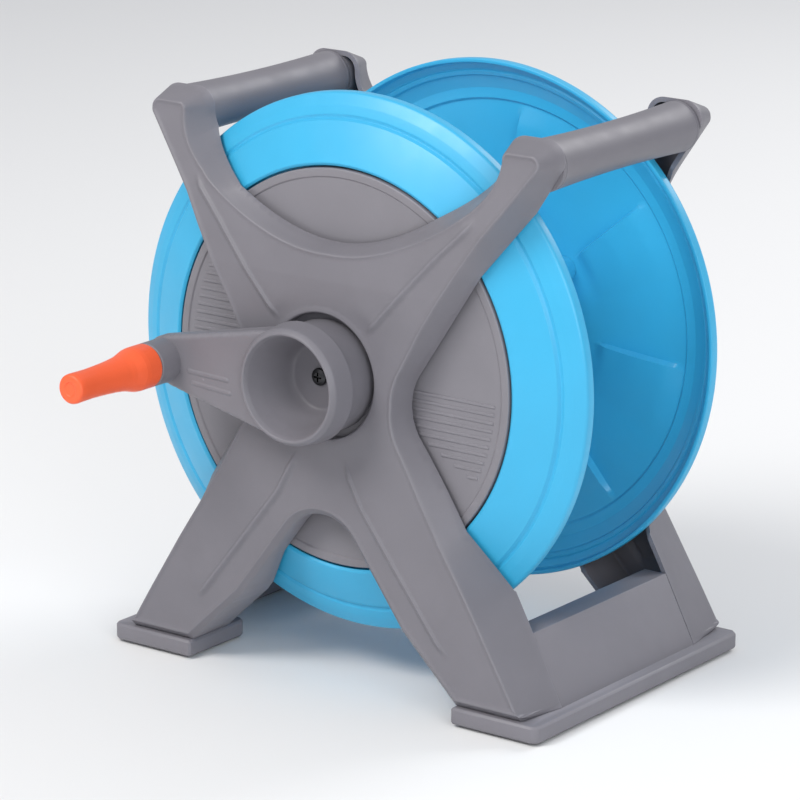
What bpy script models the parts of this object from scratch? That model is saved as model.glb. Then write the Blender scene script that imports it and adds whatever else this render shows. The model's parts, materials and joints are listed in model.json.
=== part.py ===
"""Hose reel with a dished drum on an X-shaped stand, wound by a crank.

Metres, +Z up. The drum axis runs along Y: the crank is at -Y, the water inlet at +Y.
The origin lies under the middle of the whole reel, on the surface it stands on.
Depths named ..._DEPTH are distances from the drum's middle plane, along Y, on both sides.
"""

import math

import bmesh
import bpy
from mathutils import Matrix, Vector

# Whole reel
AXIS_HEIGHT = 0.204
GAP = 0.0003
PAST = 0.010
FAR = 0.200

# Drum flanges
FLANGE_RADIUS = 0.170
FLANGE_WALL = 0.0026
RIM_DEPTH = 0.0730
LIP_DEPTH = 0.0660
LIP_ROUND = 0.0030
CREASE_RADIUS = 0.155
CREASE_STEP = 0.0009
COVER_RADIUS = 0.126
COVER_DEPTH = 0.0926
COVER_WALL = 0.0024
COVER_RING_GAP = 0.0014
COVER_RIM = 0.0060
COVER_STEP = 0.0008
CONE_EDGE = 0.0018
WEB_DEPTH = 0.0820
WEB_RIB_COUNT = 8
WEB_RIB_INNER = 0.074
WEB_RIB_OUTER = 0.141
WEB_RIB_WIDTH = 0.016
WEB_RIB_HEIGHT = 0.0055
ROUND_STEPS = 40
MEDIUM_STEPS = 32
SMALL_STEPS = 20
TINY_STEPS = 12
WATER_STEPS = 16
SCREW_STEPS = 8

# Drum core
CORE_RADIUS = 0.060
CORE_WALL = 0.003
CORE_SEAT_LENGTH = 0.007
COLUMN_RADIUS = 0.0085
COLUMN_CENTRE = 0.0610
COLUMN_COUNT = 3
COLUMN_FIRST_ANGLE = math.radians(38)
WINDOW_HEIGHT = 0.034
WINDOW_START = 0.034
WINDOW_END = 0.079
SCREW_RADIUS = 0.0019
SCREW_HEAD_RADIUS = 0.0038
SCREW_HEAD_HEIGHT = 0.0024
SCREW_LENGTH = 0.016

# Stand
PLATE_DEPTH = 0.0995
TIP_DEPTH = 0.0945
FOOT_DEPTH = 0.1150
INNER_DEPTH = 0.0750
FRAME_WALL = 0.0032
FRAME_ROUNDING = 0.0035
DRUM_CLEARANCE = 0.0030
RIDGE_HEIGHT = 0.0055
BAR_X = 0.135
BAR_Z = 0.143
BAR_RADIUS = 0.0147
BAR_END_RADIUS = 0.0162
BAR_WALL = 0.0028
BAR_EDGE = 0.0008
ELBOW_BOSS = 0.0162
ELBOW_HALF = 0.0170
ELBOW_INNER = 0.0230
ELBOW_CORNER = 0.0120
ELBOW_OUTER_LEAN = 0.0050
SPIGOT_RADIUS = 0.0100
SPIGOT_LENGTH = 0.0110
NOTCH_Z = 0.0815
NOTCH_PULL_X = 0.036
NOTCH_SIDE = (0.078, 0.1085)
NOTCH_UPPER_PULL = (0.1125, 0.1290)
NOTCH_LEAN = 0.0080
NOTCH_LOW_LEAN = 0.0045
LEAN_START = 0.0010
LEAN_PAST = 0.0005
ARM_LEAN_END = 0.4
WAIST_X = 0.057
WAIST_Z = -0.012
WAIST_RADIUS = 0.036
WAIST_TURN = math.radians(33)
ARCH_Z = -0.089
ARCH_RADIUS = 0.030
LEG_OUTER_X = 0.157
LEG_INNER_X = 0.103
LEG_BOTTOM = -0.191
LEG_PULL = (0.104, -0.085)
LEG_KNEE_X = 0.062
LEG_KNEE_Z = -0.152
LEG_BEND = 0.020
KNEE_SHARE = 0.4
TIP_BEND = 0.028
TIP_EASE = 0.0015
FACE_MARGIN = 0.004
FOOT_BLOCK = 0.012
FOOT_BLOCK_HEIGHT = 0.018
POCKET_MARGIN = 0.012
RIDGE_SINK = 0.0012
RIDGE_SPREAD = 0.0055
RIDGE_ROOT = 0.0025
ARM_CREASES = (((0.044, 0.006), (0.075, 0.046), (0.095, 0.076), (0.111, 0.100), (0.121, 0.116)),
               ((0.022, 0.032), (0.053, 0.056), (0.079, 0.080), (0.103, 0.101), (0.114, 0.117)))
LEG_CREASES = (((0.044, -0.020), (0.085, -0.072), (0.118, -0.125), (0.143, -0.170)),
               ((0.016, -0.046), (0.046, -0.090), (0.073, -0.124), (0.097, -0.156)))

# Hub rings
BEARING_END = 0.1120
BUSH_INNER = 0.0245
BUSH_OUTER = 0.0280
BUSH_LIP_RADIUS = 0.0315
BUSH_LIP = 0.0020
TUBE_WALL = 0.0035
HUB_RING_DEPTH = 0.1105
HUB_RING_RADIUS = 0.0460
HUB_RING_FOOT = 0.0550
HUB_RECESS_RADIUS = 0.0395
HUB_RECESS_DEPTH = 0.1040
INLET_RING_DEPTH = 0.1240
INLET_RING_WALL = 0.0035

# Base rails
RAIL_TOP_Z = -0.148
RAIL_OUTER_X = 0.1660
SKID_HEIGHT = 0.011
SKID_WIDTH = 0.026
SKID_SKIN = 0.006
RAIL_WALL = 0.003
PAD_WIDTH = 0.040
PAD_LENGTH = 0.026
WALL_HOLE_RADIUS = 0.0028
LUG_LENGTH = 0.018
RAIL_LEDGE = 0.016
LEDGE_LIP = 0.006
PANEL_ROOT = 0.004

# Crank
CRANK_FACE_DEPTH = 0.1480
CRANK_BACK_DEPTH = 0.1300
CRANK_HUB_RADIUS = 0.0385
CRANK_RIM_RADIUS = 0.0350
CUP_RADIUS = 0.0330
CUP_FLOOR_DEPTH = 0.1130
CUP_FLOOR_RADIUS = 0.0205
NECK_RADIUS = 0.0350
NECK_WALL = 0.0027
BARREL_START_DEPTH = 0.0988
SPLINE_START_DEPTH = 0.0810
SPLINE_FLAT = 0.0140
ARM_LENGTH = 0.101
ARM_ROOT_HALF = 0.0365
ARM_TIP_RADIUS = 0.0150
ARM_FACE_DEPTH = 0.1455
ARM_TIP_FACE_DEPTH = 0.1405
ARM_WALL = 0.0030
TIP_BOSS_DEPTH = 0.1580
TIP_BOSS_RADIUS = 0.0140
DRIVE_BOSS_RADIUS = 0.0215
DRIVE_BOSS_DEPTH = 0.0975
DRIVE_FLOOR = 0.003
DRIVE_NOSE = 0.016
DRIVE_SCREW_RADIUS = 0.0024
DRIVE_SCREW_HEAD = 0.0055
DRIVE_SCREW_LENGTH = 0.044

# Grip
GRIP_LENGTH = 0.0715
GRIP_BASE_RADIUS = 0.0140
GRIP_END_RADIUS = 0.0092
PIN_RADIUS = 0.0040

# Water path
TUBE_RADIUS = 0.0123
TUBE_BORE = 0.0090
TUBE_INNER_END = 0.046
INLET_PLATE = 0.0027
INLET_SLEEVE = 0.0185
INLET_REACH = 0.0280
NIPPLE_BORE = 0.0052
THREAD_RADIUS = 0.0102
COLLAR_LENGTH = 0.004
O_RING_GROOVE = 0.0014
O_RING_WIDTH = 0.0016
O_RING_CLEARANCE = 0.00022
INLET_FLANGE_RADIUS = 0.0145
INLET_SEAL = 0.0018
INLET_FLANGE = 0.0011
INLET_NUT = 0.005
INLET_NUT_FLAT = 0.0135
INLET_SCREW_COUNT = 3
INLET_SCREW_ANGLE = math.radians(85)
THREAD_SHOWN = 0.004
NIPPLE_STEP = 0.0005
INLET_SCREW_LENGTH = 0.012
OUTLET_START = 0.030
OUTLET_CENTRE = 0.040
OUTLET_SHELL = 0.0095
OUTLET_REACH = 0.026
OUTLET_END = 0.050

TUBE_END_DEPTH = BEARING_END - INLET_SEAL - INLET_FLANGE - 2 * GAP
INLET_START_DEPTH = TUBE_END_DEPTH - INLET_SLEEVE
INLET_END_DEPTH = BEARING_END + INLET_REACH
GRIP_START_DEPTH = TIP_BOSS_DEPTH + GAP
GRIP_END_DEPTH = GRIP_START_DEPTH + GRIP_LENGTH
REEL_SHIFT = (GRIP_END_DEPTH - INLET_END_DEPTH) / 2

GREY = ((0.075, 0.075, 0.080, 1), 0.55, 0.0)
PALE_GREY = ((0.105, 0.103, 0.110, 1), 0.50, 0.0)
BLUE = ((0.030, 0.330, 0.720, 1), 0.38, 0.0)
ORANGE = ((0.850, 0.110, 0.020, 1), 0.45, 0.0)
RUBBER = ((0.018, 0.018, 0.020, 1), 0.80, 0.0)
STEEL = ((0.620, 0.620, 0.630, 1), 0.35, 1.0)
NATURAL = ((0.720, 0.710, 0.670, 1), 0.45, 0.0)


def clear_scene():
    for item in list(bpy.data.objects):
        bpy.data.objects.remove(item, do_unlink=True)


def material(name, look):
    found = bpy.data.materials.get(name)
    if found:
        return found
    colour, roughness, metallic = look
    made = bpy.data.materials.new(name)
    made.use_nodes = True
    shader = made.node_tree.nodes["Principled BSDF"]
    shader.inputs["Base Color"].default_value = colour
    shader.inputs["Roughness"].default_value = roughness
    shader.inputs["Metallic"].default_value = metallic
    return made


def empty(name, location, parent=None):
    made = bpy.data.objects.new(name, None)
    made.location = location
    made.parent = parent
    bpy.context.scene.collection.objects.link(made)
    return made


def place(name, mesh, look, parent, location=(0, 0, 0)):
    """Link one sub-part, with its own material, under its parent."""
    made = bpy.data.objects.new(name, mesh)
    made.location = location
    made.parent = parent
    mesh.materials.clear()
    mesh.materials.append(material(name, look))
    bpy.context.scene.collection.objects.link(made)
    return made


def cutter(name, mesh, parent, location=(0, 0, 0)):
    """Link a helper solid that only shapes other pieces."""
    made = bpy.data.objects.new(name, mesh)
    made.location = location
    made.parent = parent
    made.display_type = "WIRE"
    made.hide_render = True
    bpy.context.scene.collection.objects.link(made)
    return made


def combine(target, helper, operation):
    step = target.modifiers.new(operation.title() + " " + helper.name, "BOOLEAN")
    step.operation = operation
    step.object = helper
    step.solver = "EXACT"
    return step


def rounded(target, width, segments=2, angle=35):
    step = target.modifiers.new("Rounding", "BEVEL")
    step.width = width
    step.segments = segments
    step.limit_method = "ANGLE"
    step.angle_limit = math.radians(angle)
    return step


def finish_mesh(bm, name, sharp_angle=32):
    bmesh.ops.remove_doubles(bm, verts=bm.verts, dist=1e-7)
    bmesh.ops.recalc_face_normals(bm, faces=bm.faces)
    mesh = bpy.data.meshes.new(name)
    bm.to_mesh(mesh)
    bm.free()
    mesh.shade_smooth()
    mesh.set_sharp_from_angle(angle=math.radians(sharp_angle))
    return mesh


def turned(name, profile, steps, axis="Y", shift=0.0):
    """Closed solid turned about an axis; profile points are (radius, place on the axis)."""
    bm = bmesh.new()
    rings = []
    for radius, along in profile:
        if radius == 0:
            rings.append(along)
            continue
        turns = [2 * math.pi * (i + shift) / steps for i in range(steps)]
        rings.append([bm.verts.new((radius * math.cos(a), along, radius * math.sin(a))) for a in turns])
    for near, far in zip(rings, rings[1:] + rings[:1]):
        if isinstance(near, list) and isinstance(far, list):
            for i in range(steps):
                j = (i + 1) % steps
                bm.faces.new((near[i], near[j], far[j], far[i]))
        elif isinstance(near, list) or isinstance(far, list):
            bm.faces.new(near if isinstance(near, list) else far)
    if axis == "X":
        bmesh.ops.rotate(bm, verts=bm.verts, matrix=Matrix.Rotation(-math.pi / 2, 3, "Z"))
    return finish_mesh(bm, name)


def disc(name, radius, y_from, y_to, steps, side=1, axis="Y", shift=0.0):
    """Plain round solid between two places on its axis."""
    profile = [(0, side * y_from), (radius, side * y_from), (radius, side * y_to), (0, side * y_to)]
    return turned(name, profile, steps, axis, shift)


def tube(name, inner, outer, y_from, y_to, steps, axis="Y"):
    """Plain ring between two places on its axis."""
    return turned(name, [(inner, y_from), (outer, y_from), (outer, y_to), (inner, y_to)], steps, axis)


def loft(name, loops):
    """Closed solid through loops of 3D points with equal counts, capped at both ends."""
    bm = bmesh.new()
    rows = [[bm.verts.new(point) for point in loop] for loop in loops]
    count = len(rows[0])
    bm.faces.new(rows[0])
    bm.faces.new(rows[-1])
    for near, far in zip(rows, rows[1:]):
        for i in range(count):
            j = (i + 1) % count
            bm.faces.new((near[i], near[j], far[j], far[i]))
    return finish_mesh(bm, name)


def prism_y(name, outline, y_from, y_to):
    """Outline of (x, z) points carried along Y."""
    return loft(name, [[(x, y, z) for x, z in outline] for y in (y_from, y_to)])


def prism_x(name, outline, x_from, x_to):
    """Outline of (y, z) points carried along X."""
    return loft(name, [[(x, y, z) for y, z in outline] for x in (x_from, x_to)])


def prism_z(name, outline, z_from, z_to):
    """Outline of (x, y) points carried along Z."""
    return loft(name, [[(x, y, z) for x, y in outline] for z in (z_from, z_to)])


def box(name, low, high):
    corners = [(low[0], low[1]), (high[0], low[1]), (high[0], high[1]), (low[0], high[1])]
    return prism_z(name, corners, low[2], high[2])


def hexagon(name, flat, y_from, y_to):
    corner = flat / math.cos(math.pi / 6)
    outline = [(corner * math.cos(math.pi / 3 * i), corner * math.sin(math.pi / 3 * i)) for i in range(6)]
    return prism_y(name, outline, y_from, y_to)


def arc(centre, radius, start, end, steps):
    """Points on a circle, from one angle to another in degrees."""
    turns = [math.radians(start + (end - start) * i / steps) for i in range(steps + 1)]
    return [(centre[0] + radius * math.cos(a), centre[1] + radius * math.sin(a)) for a in turns]


def curve(start, pull, end, steps):
    """Points on a quadratic curve, without its start."""
    points = []
    for i in range(1, steps + 1):
        t = i / steps
        points.append(tuple((1 - t) ** 2 * a + 2 * t * (1 - t) * b + t * t * c
                            for a, b, c in zip(start, pull, end)))
    return points


def inset(outline, distances):
    """Closed clockwise outline moved inwards, each point by its own distance."""
    moved = []
    count = len(outline)
    for i, (point, distance) in enumerate(zip(outline, distances)):
        here = Vector(point)
        into = (here - Vector(outline[i - 1])).normalized()
        out_of = (Vector(outline[(i + 1) % count]) - here).normalized()
        normal_in = Vector((into.y, -into.x))
        normal_out = Vector((out_of.y, -out_of.x))
        middle = (normal_in + normal_out).normalized()
        moved.append(tuple(here + middle * distance / max(0.5, middle.dot(normal_in))))
    return moved


def mirrored(half):
    """Full clockwise outline from its right half, which runs from top centre to bottom centre."""
    return half + [(-x, z) for x, z in reversed(half) if abs(x) > 1e-9]


def around(radius, angle, y=0.0):
    """Point at a distance and angle from the drum axis."""
    return (radius * math.cos(angle), y, radius * math.sin(angle))


def leg_outer_edge():
    """Outer edge of a leg, from the waist down to the foot."""
    start = (WAIST_X + WAIST_RADIUS * (1 - math.cos(WAIST_TURN)),
             WAIST_Z - WAIST_RADIUS * math.sin(WAIST_TURN))
    return [start] + curve(start, LEG_PULL, (LEG_OUTER_X, LEG_BOTTOM), 4)


def leg_outer_x(z):
    """Where the outer edge of a leg lies at a height."""
    points = leg_outer_edge()
    for (x0, z0), (x1, z1) in zip(points, points[1:]):
        if z1 <= z <= z0:
            return x0 + (x1 - x0) * (z0 - z) / (z0 - z1)
    return LEG_OUTER_X


def notch_edge():
    """Edge of the upper notch, from its lowest point to the elbow."""
    top = (BAR_X - ELBOW_INNER, BAR_Z + ELBOW_HALF - ELBOW_CORNER)
    points = [(0, NOTCH_Z)] + curve((0, NOTCH_Z), (NOTCH_PULL_X, NOTCH_Z), NOTCH_SIDE, 5)
    return points + curve(NOTCH_SIDE, NOTCH_UPPER_PULL, top, 4)


def elbow_edge():
    """Rounded top of an elbow, from the notch to the outer edge of the arm."""
    height = BAR_Z + ELBOW_HALF - ELBOW_CORNER
    inner = arc((BAR_X - ELBOW_INNER + ELBOW_CORNER, height), ELBOW_CORNER, 180, 90, 3)
    outer = arc((BAR_X + ELBOW_HALF - ELBOW_CORNER, height), ELBOW_CORNER, 90, -33, 4)
    return inner[1:] + outer


def lower_edge():
    """Rest of the outline, from the outer edge of an arm over waist, leg and foot to the arch."""
    turn = math.degrees(WAIST_TURN)
    waist = arc((WAIST_X + WAIST_RADIUS, WAIST_Z), WAIST_RADIUS, 180 - turn, 180 + turn, 4)
    middle = Vector(elbow_edge()[-1]).lerp(Vector(waist[0]), ARM_LEAN_END)
    leg = leg_outer_edge()[1:] + [(LEG_INNER_X, LEG_BOTTOM), (LEG_KNEE_X, LEG_KNEE_Z)]
    return [tuple(middle)] + waist + leg + arc((0, ARCH_Z - ARCH_RADIUS), ARCH_RADIUS, 36, 90, 4)


def frame_outline():
    """Outline of the X-shaped frame seen along Y, clockwise from the bottom of the upper notch."""
    return mirrored(notch_edge() + elbow_edge() + lower_edge())


def frame_leans():
    """How far the wall leans inwards at each point of the outline, and the depth where it starts to."""
    elbow = elbow_edge()
    leans = []
    for x, z in notch_edge():
        share = min(1, x / NOTCH_SIDE[0])
        lean = NOTCH_LOW_LEAN + (NOTCH_LEAN - NOTCH_LOW_LEAN) * share
        leans.append((lean, max(clear_depth(math.hypot(x, z)) - LEAN_START, INNER_DEPTH + LEAN_START)))
    for number, (x, z) in enumerate(elbow):
        share = number / (len(elbow) - 1)
        lean = NOTCH_LEAN + (ELBOW_OUTER_LEAN - NOTCH_LEAN) * share
        leans.append((lean, clear_depth(math.hypot(x, z)) + LEAN_START))
    leans += [(FRAME_ROUNDING, face_depth(z) - FRAME_ROUNDING) for x, z in lower_edge()]
    return leans + leans[-2:0:-1]


def clear_depth(radius):
    """Depth of the frame's back at a distance from the axis, which keeps clear of the drum."""
    inner = COVER_RADIUS + COVER_RING_GAP + DRUM_CLEARANCE
    outer = FLANGE_RADIUS + DRUM_CLEARANCE
    if radius > outer:
        return INNER_DEPTH
    share = max(0, (radius - inner) / (outer - inner))
    return COVER_DEPTH + DRUM_CLEARANCE + share * (RIM_DEPTH - COVER_DEPTH)


def frame_walls(name, side, inward, back):
    """Walls of the frame moved inwards: straight at the back, then leaning in to the face."""
    outline = frame_outline()
    leans = frame_leans()
    wide = inset(outline, [inward] * len(outline))
    narrow = inset(outline, [inward + lean for lean, start in leans])
    far = FOOT_DEPTH + PAST
    loops = [[(x, side * back, z) for x, z in wide],
             [(x, side * (start - inward), z) for (x, z), (lean, start) in zip(wide, leans)],
             [(x, side * (face_depth(z) - inward + LEAN_PAST), z) for x, z in narrow],
             [(x, side * far, z) for x, z in narrow]]
    mesh = loft(name, loops)
    bm = bmesh.new()
    bm.from_mesh(mesh)
    bmesh.ops.triangulate(bm, faces=bm.faces[:])
    bm.to_mesh(mesh)
    bm.free()
    return mesh


def face_points():
    """Depth and height of the frame's outer face, from tip to foot."""
    knee = PLATE_DEPTH + KNEE_SHARE * (FOOT_DEPTH - PLATE_DEPTH)
    return [(TIP_DEPTH, BAR_Z + ELBOW_HALF + FACE_MARGIN), (TIP_DEPTH, BAR_Z + FACE_MARGIN),
            (PLATE_DEPTH - TIP_EASE, BAR_Z - TIP_BEND), (PLATE_DEPTH, NOTCH_Z),
            (PLATE_DEPTH, ARCH_Z + LEG_BEND), (knee, LEG_KNEE_Z + LEG_BEND),
            (FOOT_DEPTH, LEG_BOTTOM - FACE_MARGIN)]


def face_depth(z):
    points = face_points()
    for (d0, z0), (d1, z1) in zip(points, points[1:]):
        if z1 <= z <= z0:
            return d0 + (d1 - d0) * (z0 - z) / (z0 - z1)
    return points[-1][0]


def frame_profile(side, inward, back):
    """Cross-section of the frame along X, with its face moved inwards."""
    points = face_points()
    loop = [(side * (depth - inward), z) for depth, z in points]
    return loop + [(side * back, points[-1][1]), (side * back, points[0][1])]


def ridge(name, side, sign, creases):
    """Raised face of an arm or leg between two crease lines, from the hub outwards."""
    outer, inner = creases
    last = len(outer) - 1
    rows = []
    for step, (far, near) in enumerate(zip(outer, inner)):
        across = (Vector(far) - Vector(near)).normalized() * RIDGE_SPREAD
        rise = (RIDGE_HEIGHT + RIDGE_SINK) * math.sqrt(1 - step / last) - RIDGE_SINK
        row = []
        for (x, z), shift, raised in ((near, -across, False), (near, None, True), (far, None, True),
                                      (far, across, False)):
            if raised:
                row.append((sign * x, side * (face_depth(z) + rise), z))
            else:
                foot_z = z + shift.y
                row.append((sign * (x + shift.x), side * (face_depth(foot_z) - RIDGE_ROOT), foot_z))
        rows.append(row)
    return loft(name, rows)


def frame(name, side, parent):
    """Moulded X frame with hub ring, elbows for the tie bars and legs for the rails."""
    body = place(name, frame_walls(name, side, 0, INNER_DEPTH), GREY, parent)
    profile = prism_x("profile", frame_profile(side, 0, INNER_DEPTH - PAST), -FAR, FAR)
    combine(body, cutter(name + "_profile", profile, parent), "INTERSECT")
    for label, sign in (("right", 1), ("left", -1)):
        arm = ridge("arm_ridge", side, sign, ARM_CREASES)
        combine(body, cutter(f"{name}_arm_ridge_{label}", arm, parent), "UNION")
        leg = ridge("leg_ridge", side, sign, LEG_CREASES)
        combine(body, cutter(f"{name}_leg_ridge_{label}", leg, parent), "UNION")
    root = PLATE_DEPTH - 0.002
    points = [(0, root), (HUB_RING_FOOT + 0.002, root), (HUB_RING_FOOT, PLATE_DEPTH + 0.002),
              (HUB_RING_RADIUS + 0.0015, HUB_RING_DEPTH - 0.0005), (HUB_RING_RADIUS, HUB_RING_DEPTH)]
    if side > 0:
        outer = HUB_RECESS_RADIUS + INLET_RING_WALL
        points += [(outer, HUB_RING_DEPTH), (outer, INLET_RING_DEPTH), (0, INLET_RING_DEPTH)]
    else:
        points += [(0, HUB_RING_DEPTH)]
    ring_mesh = turned("hub_ring", [(radius, side * depth) for radius, depth in points], MEDIUM_STEPS)
    combine(body, cutter(name + "_hub_ring", ring_mesh, parent), "UNION")
    hollow_frame(body, side, parent)
    bore_frame(body, side, parent)
    return body


def hollow_frame(body, side, parent):
    """Clear the drum's space and hollow the arms and legs from the drum side."""
    name = body.name
    reach = FLANGE_RADIUS + DRUM_CLEARANCE
    cover = COVER_RADIUS + COVER_RING_GAP + DRUM_CLEARANCE
    points = [(0, 0), (reach, 0), (reach, clear_depth(reach)), (cover, clear_depth(0)), (0, clear_depth(0))]
    clear = turned("clear", [(radius, side * depth) for radius, depth in points], ROUND_STEPS)
    combine(body, cutter(name + "_drum_space", clear, parent), "DIFFERENCE")
    pocket = cutter(name + "_pocket", frame_walls("pocket", side, FRAME_WALL, 0), parent)
    inside = prism_x("inside", frame_profile(side, FRAME_WALL, INNER_DEPTH - 2 * PAST), -FAR, FAR)
    combine(pocket, cutter(name + "_pocket_profile", inside, parent), "INTERSECT")
    keep = disc("keep", COVER_RADIUS + POCKET_MARGIN, -PAST, FAR, ROUND_STEPS, side, "Y", 0.5)
    combine(pocket, cutter(name + "_pocket_keep", keep, parent), "DIFFERENCE")
    floor = box("floor", (-FAR, -FAR, LEG_BOTTOM - PAST), (FAR, FAR, LEG_BOTTOM + FRAME_WALL))
    combine(pocket, cutter(name + "_pocket_floor", floor, parent), "DIFFERENCE")
    for label, sign in (("left", -1), ("right", 1)):
        elbow = disc("elbow", ELBOW_BOSS, -PAST, FAR, SMALL_STEPS, side, "Y", 0.5)
        at_bar = (sign * BAR_X, 0, BAR_Z)
        combine(pocket, cutter(f"{name}_pocket_elbow_{label}", elbow, parent, at_bar), "DIFFERENCE")
        block_x, block_y = foot_screw_place(sign, side)
        half = FOOT_BLOCK / 2
        block = box("block", (block_x - half, block_y - half, LEG_BOTTOM),
                    (block_x + half, block_y + half, LEG_BOTTOM + FOOT_BLOCK_HEIGHT))
        combine(pocket, cutter(f"{name}_pocket_block_{label}", block, parent), "DIFFERENCE")
    combine(body, pocket, "DIFFERENCE")


def foot_screw_place(sign, side):
    """Where the screw of one foot stands, as (x, y)."""
    return sign * (LEG_INNER_X + LEG_OUTER_X) / 2, side * (INNER_DEPTH + FOOT_DEPTH) / 2


def bore_frame(body, side, parent):
    """Bore the hub for its bush and recess, and the elbows and feet for what they hold."""
    name = body.name
    start = COVER_DEPTH + DRUM_CLEARANCE
    step = start + BUSH_LIP + 2 * GAP
    tube_outer = BUSH_OUTER + TUBE_WALL
    points = [(0, start - PAST), (BUSH_LIP_RADIUS + GAP, start - PAST), (BUSH_LIP_RADIUS + GAP, step),
              (BUSH_OUTER + GAP, step), (BUSH_OUTER + GAP, BEARING_END)]
    if side > 0:
        points += [(HUB_RECESS_RADIUS, BEARING_END), (HUB_RECESS_RADIUS, FAR), (0, FAR)]
    else:
        points += [(BUSH_OUTER + GAP, FAR), (0, FAR)]
        recess = [(tube_outer, side * HUB_RECESS_DEPTH), (HUB_RECESS_RADIUS, side * HUB_RECESS_DEPTH),
                  (HUB_RECESS_RADIUS, side * FAR), (tube_outer, side * FAR)]
        groove = turned("groove", recess, MEDIUM_STEPS, "Y", 0.5)
        combine(body, cutter(name + "_recess", groove, parent), "DIFFERENCE")
    bore = turned("bore", [(radius, side * depth) for radius, depth in points], MEDIUM_STEPS, "Y", 0.5)
    combine(body, cutter(name + "_bore", bore, parent), "DIFFERENCE")
    for label, sign in (("left", -1), ("right", 1)):
        end = INNER_DEPTH + SPIGOT_LENGTH + GAP
        socket = disc("socket", SPIGOT_RADIUS + GAP, INNER_DEPTH - PAST, end, SMALL_STEPS, side)
        at_bar = (sign * BAR_X, 0, BAR_Z)
        combine(body, cutter(f"{name}_socket_{label}", socket, parent, at_bar), "DIFFERENCE")
        hole_x, hole_y = foot_screw_place(sign, side)
        hole_top = LEG_BOTTOM + FOOT_BLOCK_HEIGHT - FRAME_WALL
        hole = upright("hole", SCREW_RADIUS + GAP, LEG_BOTTOM - PAST, hole_top)
        combine(body, cutter(f"{name}_foot_hole_{label}", hole, parent, (hole_x, hole_y, 0)), "DIFFERENCE")


def upright(name, radius, z_from, z_to, steps=SCREW_STEPS):
    """Plain round solid standing along Z."""
    outline = [(radius * math.cos(2 * math.pi * i / steps), radius * math.sin(2 * math.pi * i / steps))
               for i in range(steps)]
    return prism_z(name, outline, z_from, z_to)


def tie_bar(name, sign, parent):
    """Round tube between the elbows, slimmer in its middle, with a narrower spigot at each end."""
    shoulder = INNER_DEPTH - GAP
    end = INNER_DEPTH + SPIGOT_LENGTH
    bore = SPIGOT_RADIUS - BAR_WALL
    edge = shoulder - BAR_EDGE
    swell = [(BAR_RADIUS + (BAR_END_RADIUS - BAR_RADIUS) * (i / 3) ** 2, edge * i / 3) for i in range(1, 4)]
    half = swell + [(BAR_END_RADIUS - BAR_EDGE, shoulder), (SPIGOT_RADIUS, shoulder), (SPIGOT_RADIUS, end),
                    (bore, end)]
    profile = [(BAR_RADIUS, 0)] + half + [(radius, -y) for radius, y in reversed(half)]
    return place(name, turned(name, profile, SMALL_STEPS), GREY, parent, (sign * BAR_X, 0, BAR_Z))


def base_rail(name, sign, parent):
    """Skid under both feet of one side, with the sloped panel that closes the side between the legs."""
    high = LEG_BOTTOM - GAP
    low = high - SKID_HEIGHT
    end = FOOT_DEPTH + 0.001
    inner = LEG_INNER_X - 0.001
    middle = RAIL_OUTER_X - SKID_WIDTH
    lug = INNER_DEPTH - LUG_LENGTH
    corner = 0.004
    front = [(middle, -lug + corner), (middle - corner, -lug), (inner + corner, -lug), (inner, -lug - corner),
             (inner, -end), (RAIL_OUTER_X - corner, -end), (RAIL_OUTER_X, -end + corner)]
    plan = [(sign * x, y) for x, y in front + [(x, -y) for x, y in reversed(front)]]
    rail = place(name, prism_z(name, plan, low, high), GREY, parent)
    rounded(rail, 0.0015, 1)
    outer_low = leg_outer_x(LEG_BOTTOM)
    outer_high = leg_outer_x(RAIL_TOP_Z)
    under = RAIL_TOP_Z - RAIL_WALL
    ledge = outer_high - RAIL_LEDGE
    sunk = high - PANEL_ROOT
    lip = under - LEDGE_LIP
    section = [(outer_high, RAIL_TOP_Z), (outer_low, LEG_BOTTOM), (outer_low, sunk),
               (outer_low - RAIL_WALL, sunk), (outer_low - RAIL_WALL, LEG_BOTTOM),
               (outer_high - RAIL_WALL, under), (ledge + RAIL_WALL, under), (ledge + RAIL_WALL, lip),
               (ledge, lip), (ledge, RAIL_TOP_Z)]
    panel_end = INNER_DEPTH - GAP
    panel = prism_y("panel", [(sign * x, z) for x, z in section], -panel_end, panel_end)
    combine(rail, cutter(name + "_panel", panel, parent), "UNION")
    hollow_x = sorted((sign * (middle + RAIL_WALL), sign * (RAIL_OUTER_X - RAIL_WALL)))
    reach = lug - corner - RAIL_WALL
    for number, (start, stop) in enumerate(((-reach, -RAIL_WALL / 2), (RAIL_WALL / 2, reach))):
        hollow = box("hollow", (hollow_x[0], start, low - PAST), (hollow_x[1], stop, high - SKID_SKIN))
        combine(rail, cutter(f"{name}_hollow_{number}", hollow, parent), "DIFFERENCE")
    for label, side in (("front", -1), ("rear", 1)):
        hole_x, hole_y = foot_screw_place(sign, side)
        drill = upright("drill", SCREW_RADIUS + GAP, low - PAST, high + PAST)
        combine(rail, cutter(f"{name}_drill_{label}", drill, parent, (hole_x, hole_y, 0)), "DIFFERENCE")
        head_top = low + SCREW_HEAD_HEIGHT + 2 * GAP
        seat = upright("seat", SCREW_HEAD_RADIUS + GAP, low - PAST, head_top, TINY_STEPS)
        combine(rail, cutter(f"{name}_seat_{label}", seat, parent, (hole_x, hole_y, 0)), "DIFFERENCE")
        screw(f"rail_screw_{label}_{name.rsplit('_', 1)[1]}", parent, (hole_x, hole_y, head_top - GAP),
              (0, 0, -1), SCREW_LENGTH)
        wall = upright("wall", WALL_HOLE_RADIUS, low - PAST, high + PAST, TINY_STEPS)
        wall_at = (sign * (inner + middle) / 2, side * (INNER_DEPTH - LUG_LENGTH / 2), 0)
        combine(rail, cutter(f"{name}_wall_hole_{label}", wall, parent, wall_at), "DIFFERENCE")
    return rail


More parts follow.
